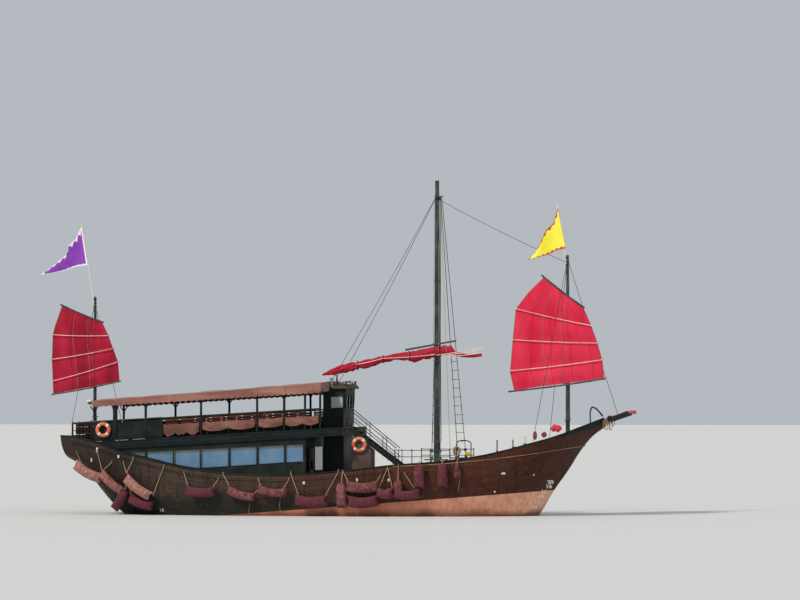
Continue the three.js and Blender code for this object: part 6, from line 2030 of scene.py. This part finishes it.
def bundlePoint(middle, long, high, u, v, seed):
    turn = 2 * math.pi * v
    full = math.sin(math.pi * lerp(0.04, 0.96, u)) ** 0.6
    fold = 1 - 0.18 * abs(math.sin(2.5 * turn + 6 * u + seed)) + 0.34 * noise.noise(
        Vector((u * 3.4 + seed, math.cos(turn) * 1.4, math.sin(turn) * 1.4)))
    tie = 1 - 0.22 * math.exp(-((u - 0.5) / 0.06) ** 2)
    swell = full * tie * min(fold, 1)
    return (middle[0] + lerp(-long, long, u), middle[1] + high * 0.85 * math.cos(turn) * swell,
            middle[2] + high * math.sin(turn) * swell - 0.02 * (u - 0.5) ** 2)


def buildBundles():
    for seed, (name, (middle, long, high, finish, slotName)) in enumerate(bundles.items()):
        bm = bmesh.new()
        addCloth(bm, 40, 30, lambda u, v: bundlePoint(middle, long, high, u, v, seed),
                 size=(long * 2, high * 6))
        bmesh.ops.remove_doubles(bm, verts=bm.verts[:], dist=0.0004)
        rims = [e for e in bm.edges if e.is_boundary]
        bmesh.ops.holes_fill(bm, edges=rims, sides=0)
        faceOut(bm)
        piece = makePiece(name, bm, [finish], sharp=80)


buildBundles()

# A spare line, coiled and hung on the hoop at the rail, its tail hanging down the side
coil = {"head": (6.55, -3.19, 3.40), "loops": 9, "wide": 0.15, "long": 0.21, "thick": 0.03, "depth": 0.26,
        "tail": 0.30}


def buildCoil():
    x, y, z = coil["head"]
    path = []
    for i in range(coil["loops"] * 18):
        t, turn = i / (coil["loops"] * 18), 2 * math.pi * i / 18
        path.append(Vector((x + coil["wide"] * (1 - 0.12 * t) * math.sin(turn) + 0.03 * math.sin(9 * t),
                            y - coil["depth"] * t - 0.01 * math.cos(turn),
                            z - coil["long"] * (1 - math.cos(turn)) * (1 + 0.08 * t))))
    end = path[-1]
    path += [end + Vector((0.03 * math.sin(4 * t), -0.05 - 0.03 * t, -coil["tail"] * t))
             for t in spanOf(0.05, 1, 20)]
    bm = bmesh.new()
    addTube(bm, path, coil["thick"] / 2, sides=8)
    faceOut(bm)
    piece = makePiece("spare_line", bm, [paleRope])


buildCoil()

# Small iron and painted fittings on the side: x, height, half length, half height
fittings = ((-11.58, 3.19, 0.05, 0.12), (-11.92, 2.70, 0.04, 0.10), (-10.44, 2.87, 0.05, 0.07),
            (-0.99, 1.62, 0.06, 0.07), (1.65, 1.77, 0.05, 0.07), (3.22, 1.77, 0.05, 0.07),
            (8.26, 1.21, 0.05, 0.04), (8.71, 2.10, 0.11, 0.045), (10.05, 2.03, 0.04, 0.04))
draughtMarks = {"rows": ((10.57, 1.58, "20"), (10.47, 1.36, "18"), (10.26, 1.12, "16"), (10.10, 0.87, "14"),
                         (9.92, 0.62, "12"), (9.75, 0.38, "10"), (-8.49, 0.16, "14")), "size": 0.24}


def buildSideFittings():
    bm = bmesh.new()
    for x, z, long, high in fittings:
        y = -sideAt(x, z) - 0.016
        addBeam(bm, (x - long, y, z), (x + long, y, z), 0.035, high * 2, 0.012)
        for end in (-0.6, 0.6):
            addBall(bm, (x + end * long, y - 0.018, z), 0.012, fine=8, slot=1)
    mirrorPort(bm)
    for x, z, text in draughtMarks["rows"]:
        curve = bpy.data.curves.new("numeral", "FONT")
        curve.body = text
        curve.size = draughtMarks["size"]
        curve.offset = 0.009
        shape = bpy.data.objects.new("numeral", curve)
        mesh = bpy.data.meshes.new_from_object(shape)
        for side in (-1, 1):
            before = set(bm.verts)
            bm.from_mesh(mesh)
            for vert in bm.verts:
                if vert not in before:
                    u, v = x - side * vert.co.x, z + vert.co.y
                    vert.co = (u, side * (sideAt(u, v) + 0.006), v)
    makePiece("side_fittings", bm, [whitePaint, castIron])


buildSideFittings()

# Globe lamp on the mizzen mast
sternLamp = {"middle": (-12.86, -0.02, 5.60), "globe": 0.165, "flat": 0.6}


def buildSternLamp():
    bm = bmesh.new()
    x, y, z = sternLamp["middle"]
    r = sternLamp["globe"]
    addBall(bm, (x, y, z), r, (1, 1, sternLamp["flat"]), fine=28)
    r *= sternLamp["flat"]
    addRod(bm, (x, y, z - r - 0.05), (x, y, z - r + 0.03), 0.07, 0.12, sides=24, slot=1)
    addRod(bm, (x, y, z + r - 0.01), (x, y, z + r + 0.02), 0.03, 0.02, sides=16, slot=1)
    addBeam(bm, (x, y, z - r - 0.055), (-12.68, y, z - r - 0.055), 0.05, 0.03, 0.005, slot=1)
    makePiece("stern_lamp", bm, [whitePaint, castIron])


buildSternLamp()

# Iron straps that hold the rudder's planks together, riding on the blade
rudderStraps = {"heights": (-0.35, -0.95, -1.55), "from": -11.03, "to": -12.12, "half": 0.075}


def buildRudderStraps():
    bm = bmesh.new()
    for z in rudderStraps["heights"]:
        for side in (-1, 1):
            y = side * rudderStraps["half"]
            addBeam(bm, (rudderStraps["from"], y, z), (rudderStraps["to"], y, z), 0.016, 0.09, 0.005)
            for x in spanOf(rudderStraps["from"] - 0.08, rudderStraps["to"] + 0.06, 4):
                addBall(bm, (x, y + side * 0.01, z), 0.018, (1, 0.6, 1), fine=10)
        addRod(bm, (-10.98, 0, z - 0.07), (-10.98, 0, z + 0.07), 0.085, sides=24)
    makePiece("rudder_straps", bm, [castIron], body="rudder")


buildRudderStraps()
print("bow and deck gear set")

# What stays from the solids, and what each is finished with
nodeFinishes = {
    "keel": keelTimber, "rudder": bootTopPaint, "bow_beams": darkPaint, "saloon_walls": darkPaint,
    "saloon_glass_stbd": windowGlass, "saloon_glass_port": windowGlass, "saloon_glass_front": windowGlass,
    "saloon_door": cabinTeak, "engine": enginePaint, "engine_hatch": deckTeak, "upper_deck": promenadeDeck,
    "awning_bows": darkPaint, "pilothouse": darkPaint, "pilothouse_glass": houseGlass,
    "pilothouse_roof": roofBoards, "pilothouse_door": cabinTeak, "helm": cabinTeak, "helm_trunk": darkPaint,
    "stair_locker": lockerTimber, "boom_crutch": mastPaint, "propeller": bronze,
}
eased = {"width": 0.008, "segments": 2}
leftSharp = ("saloon_glass_stbd", "saloon_glass_port", "saloon_glass_front", "pilothouse_glass", "propeller")


def finishNodes():
    for name, finish in nodeFinishes.items():
        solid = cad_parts[name]
        solid.data.materials.clear()
        solid.data.materials.append(finish)
        if name in leftSharp:
            continue
        arris = solid.modifiers.new("easedArris", "BEVEL")
        arris.width = eased["width"]
        arris.segments = eased["segments"]
        arris.limit_method = "ANGLE"
        arris.angle_limit = math.radians(40)


finishNodes()
print("solids finished")

studio = {"floor": "#c9ccce", "world": "#dfe6ec", "worldStrength": 0.62, "key": 2.8, "fill": 0.5}


def buildStudio():
    bm = bmesh.new()
    bmesh.ops.create_grid(bm, x_segments=1, y_segments=1, size=900)
    mesh = bpy.data.meshes.new("floor")
    bm.to_mesh(mesh)
    bm.free()
    floor = bpy.data.objects.new("floor", mesh)
    material, tree, shader, place = newMaterial("paleStudioFloor")
    feed(tree, shader, {"Base Color": studio["floor"], "Roughness": 0.8})
    mesh.materials.append(material)
    bpy.context.scene.collection.objects.link(floor)
    world = bpy.data.worlds.new("studio")
    world.use_nodes = True
    background = world.node_tree.nodes["Background"]
    feed(world.node_tree, background, {"Color": studio["world"], "Strength": studio["worldStrength"]})
    bpy.context.scene.world = world
    for name, strength, angle, turn, tone in (
            ("key", studio["key"], 7, (48, 0, -32), "#fff1df"),
            ("fill", studio["fill"], 60, (60, 0, 60), "#e6f0ff")):
        data = bpy.data.lights.new(name, "SUN")
        data.energy = strength
        data.angle = math.radians(angle)
        data.color = hexColour(tone)[:3]
        lamp = bpy.data.objects.new(name, data)
        lamp.rotation_euler = [math.radians(a) for a in turn]
        bpy.context.scene.collection.objects.link(lamp)
    bpy.context.scene.view_settings.view_transform = "Standard"


buildStudio()


def corners(box):
    return [list(corner) for corner in box]
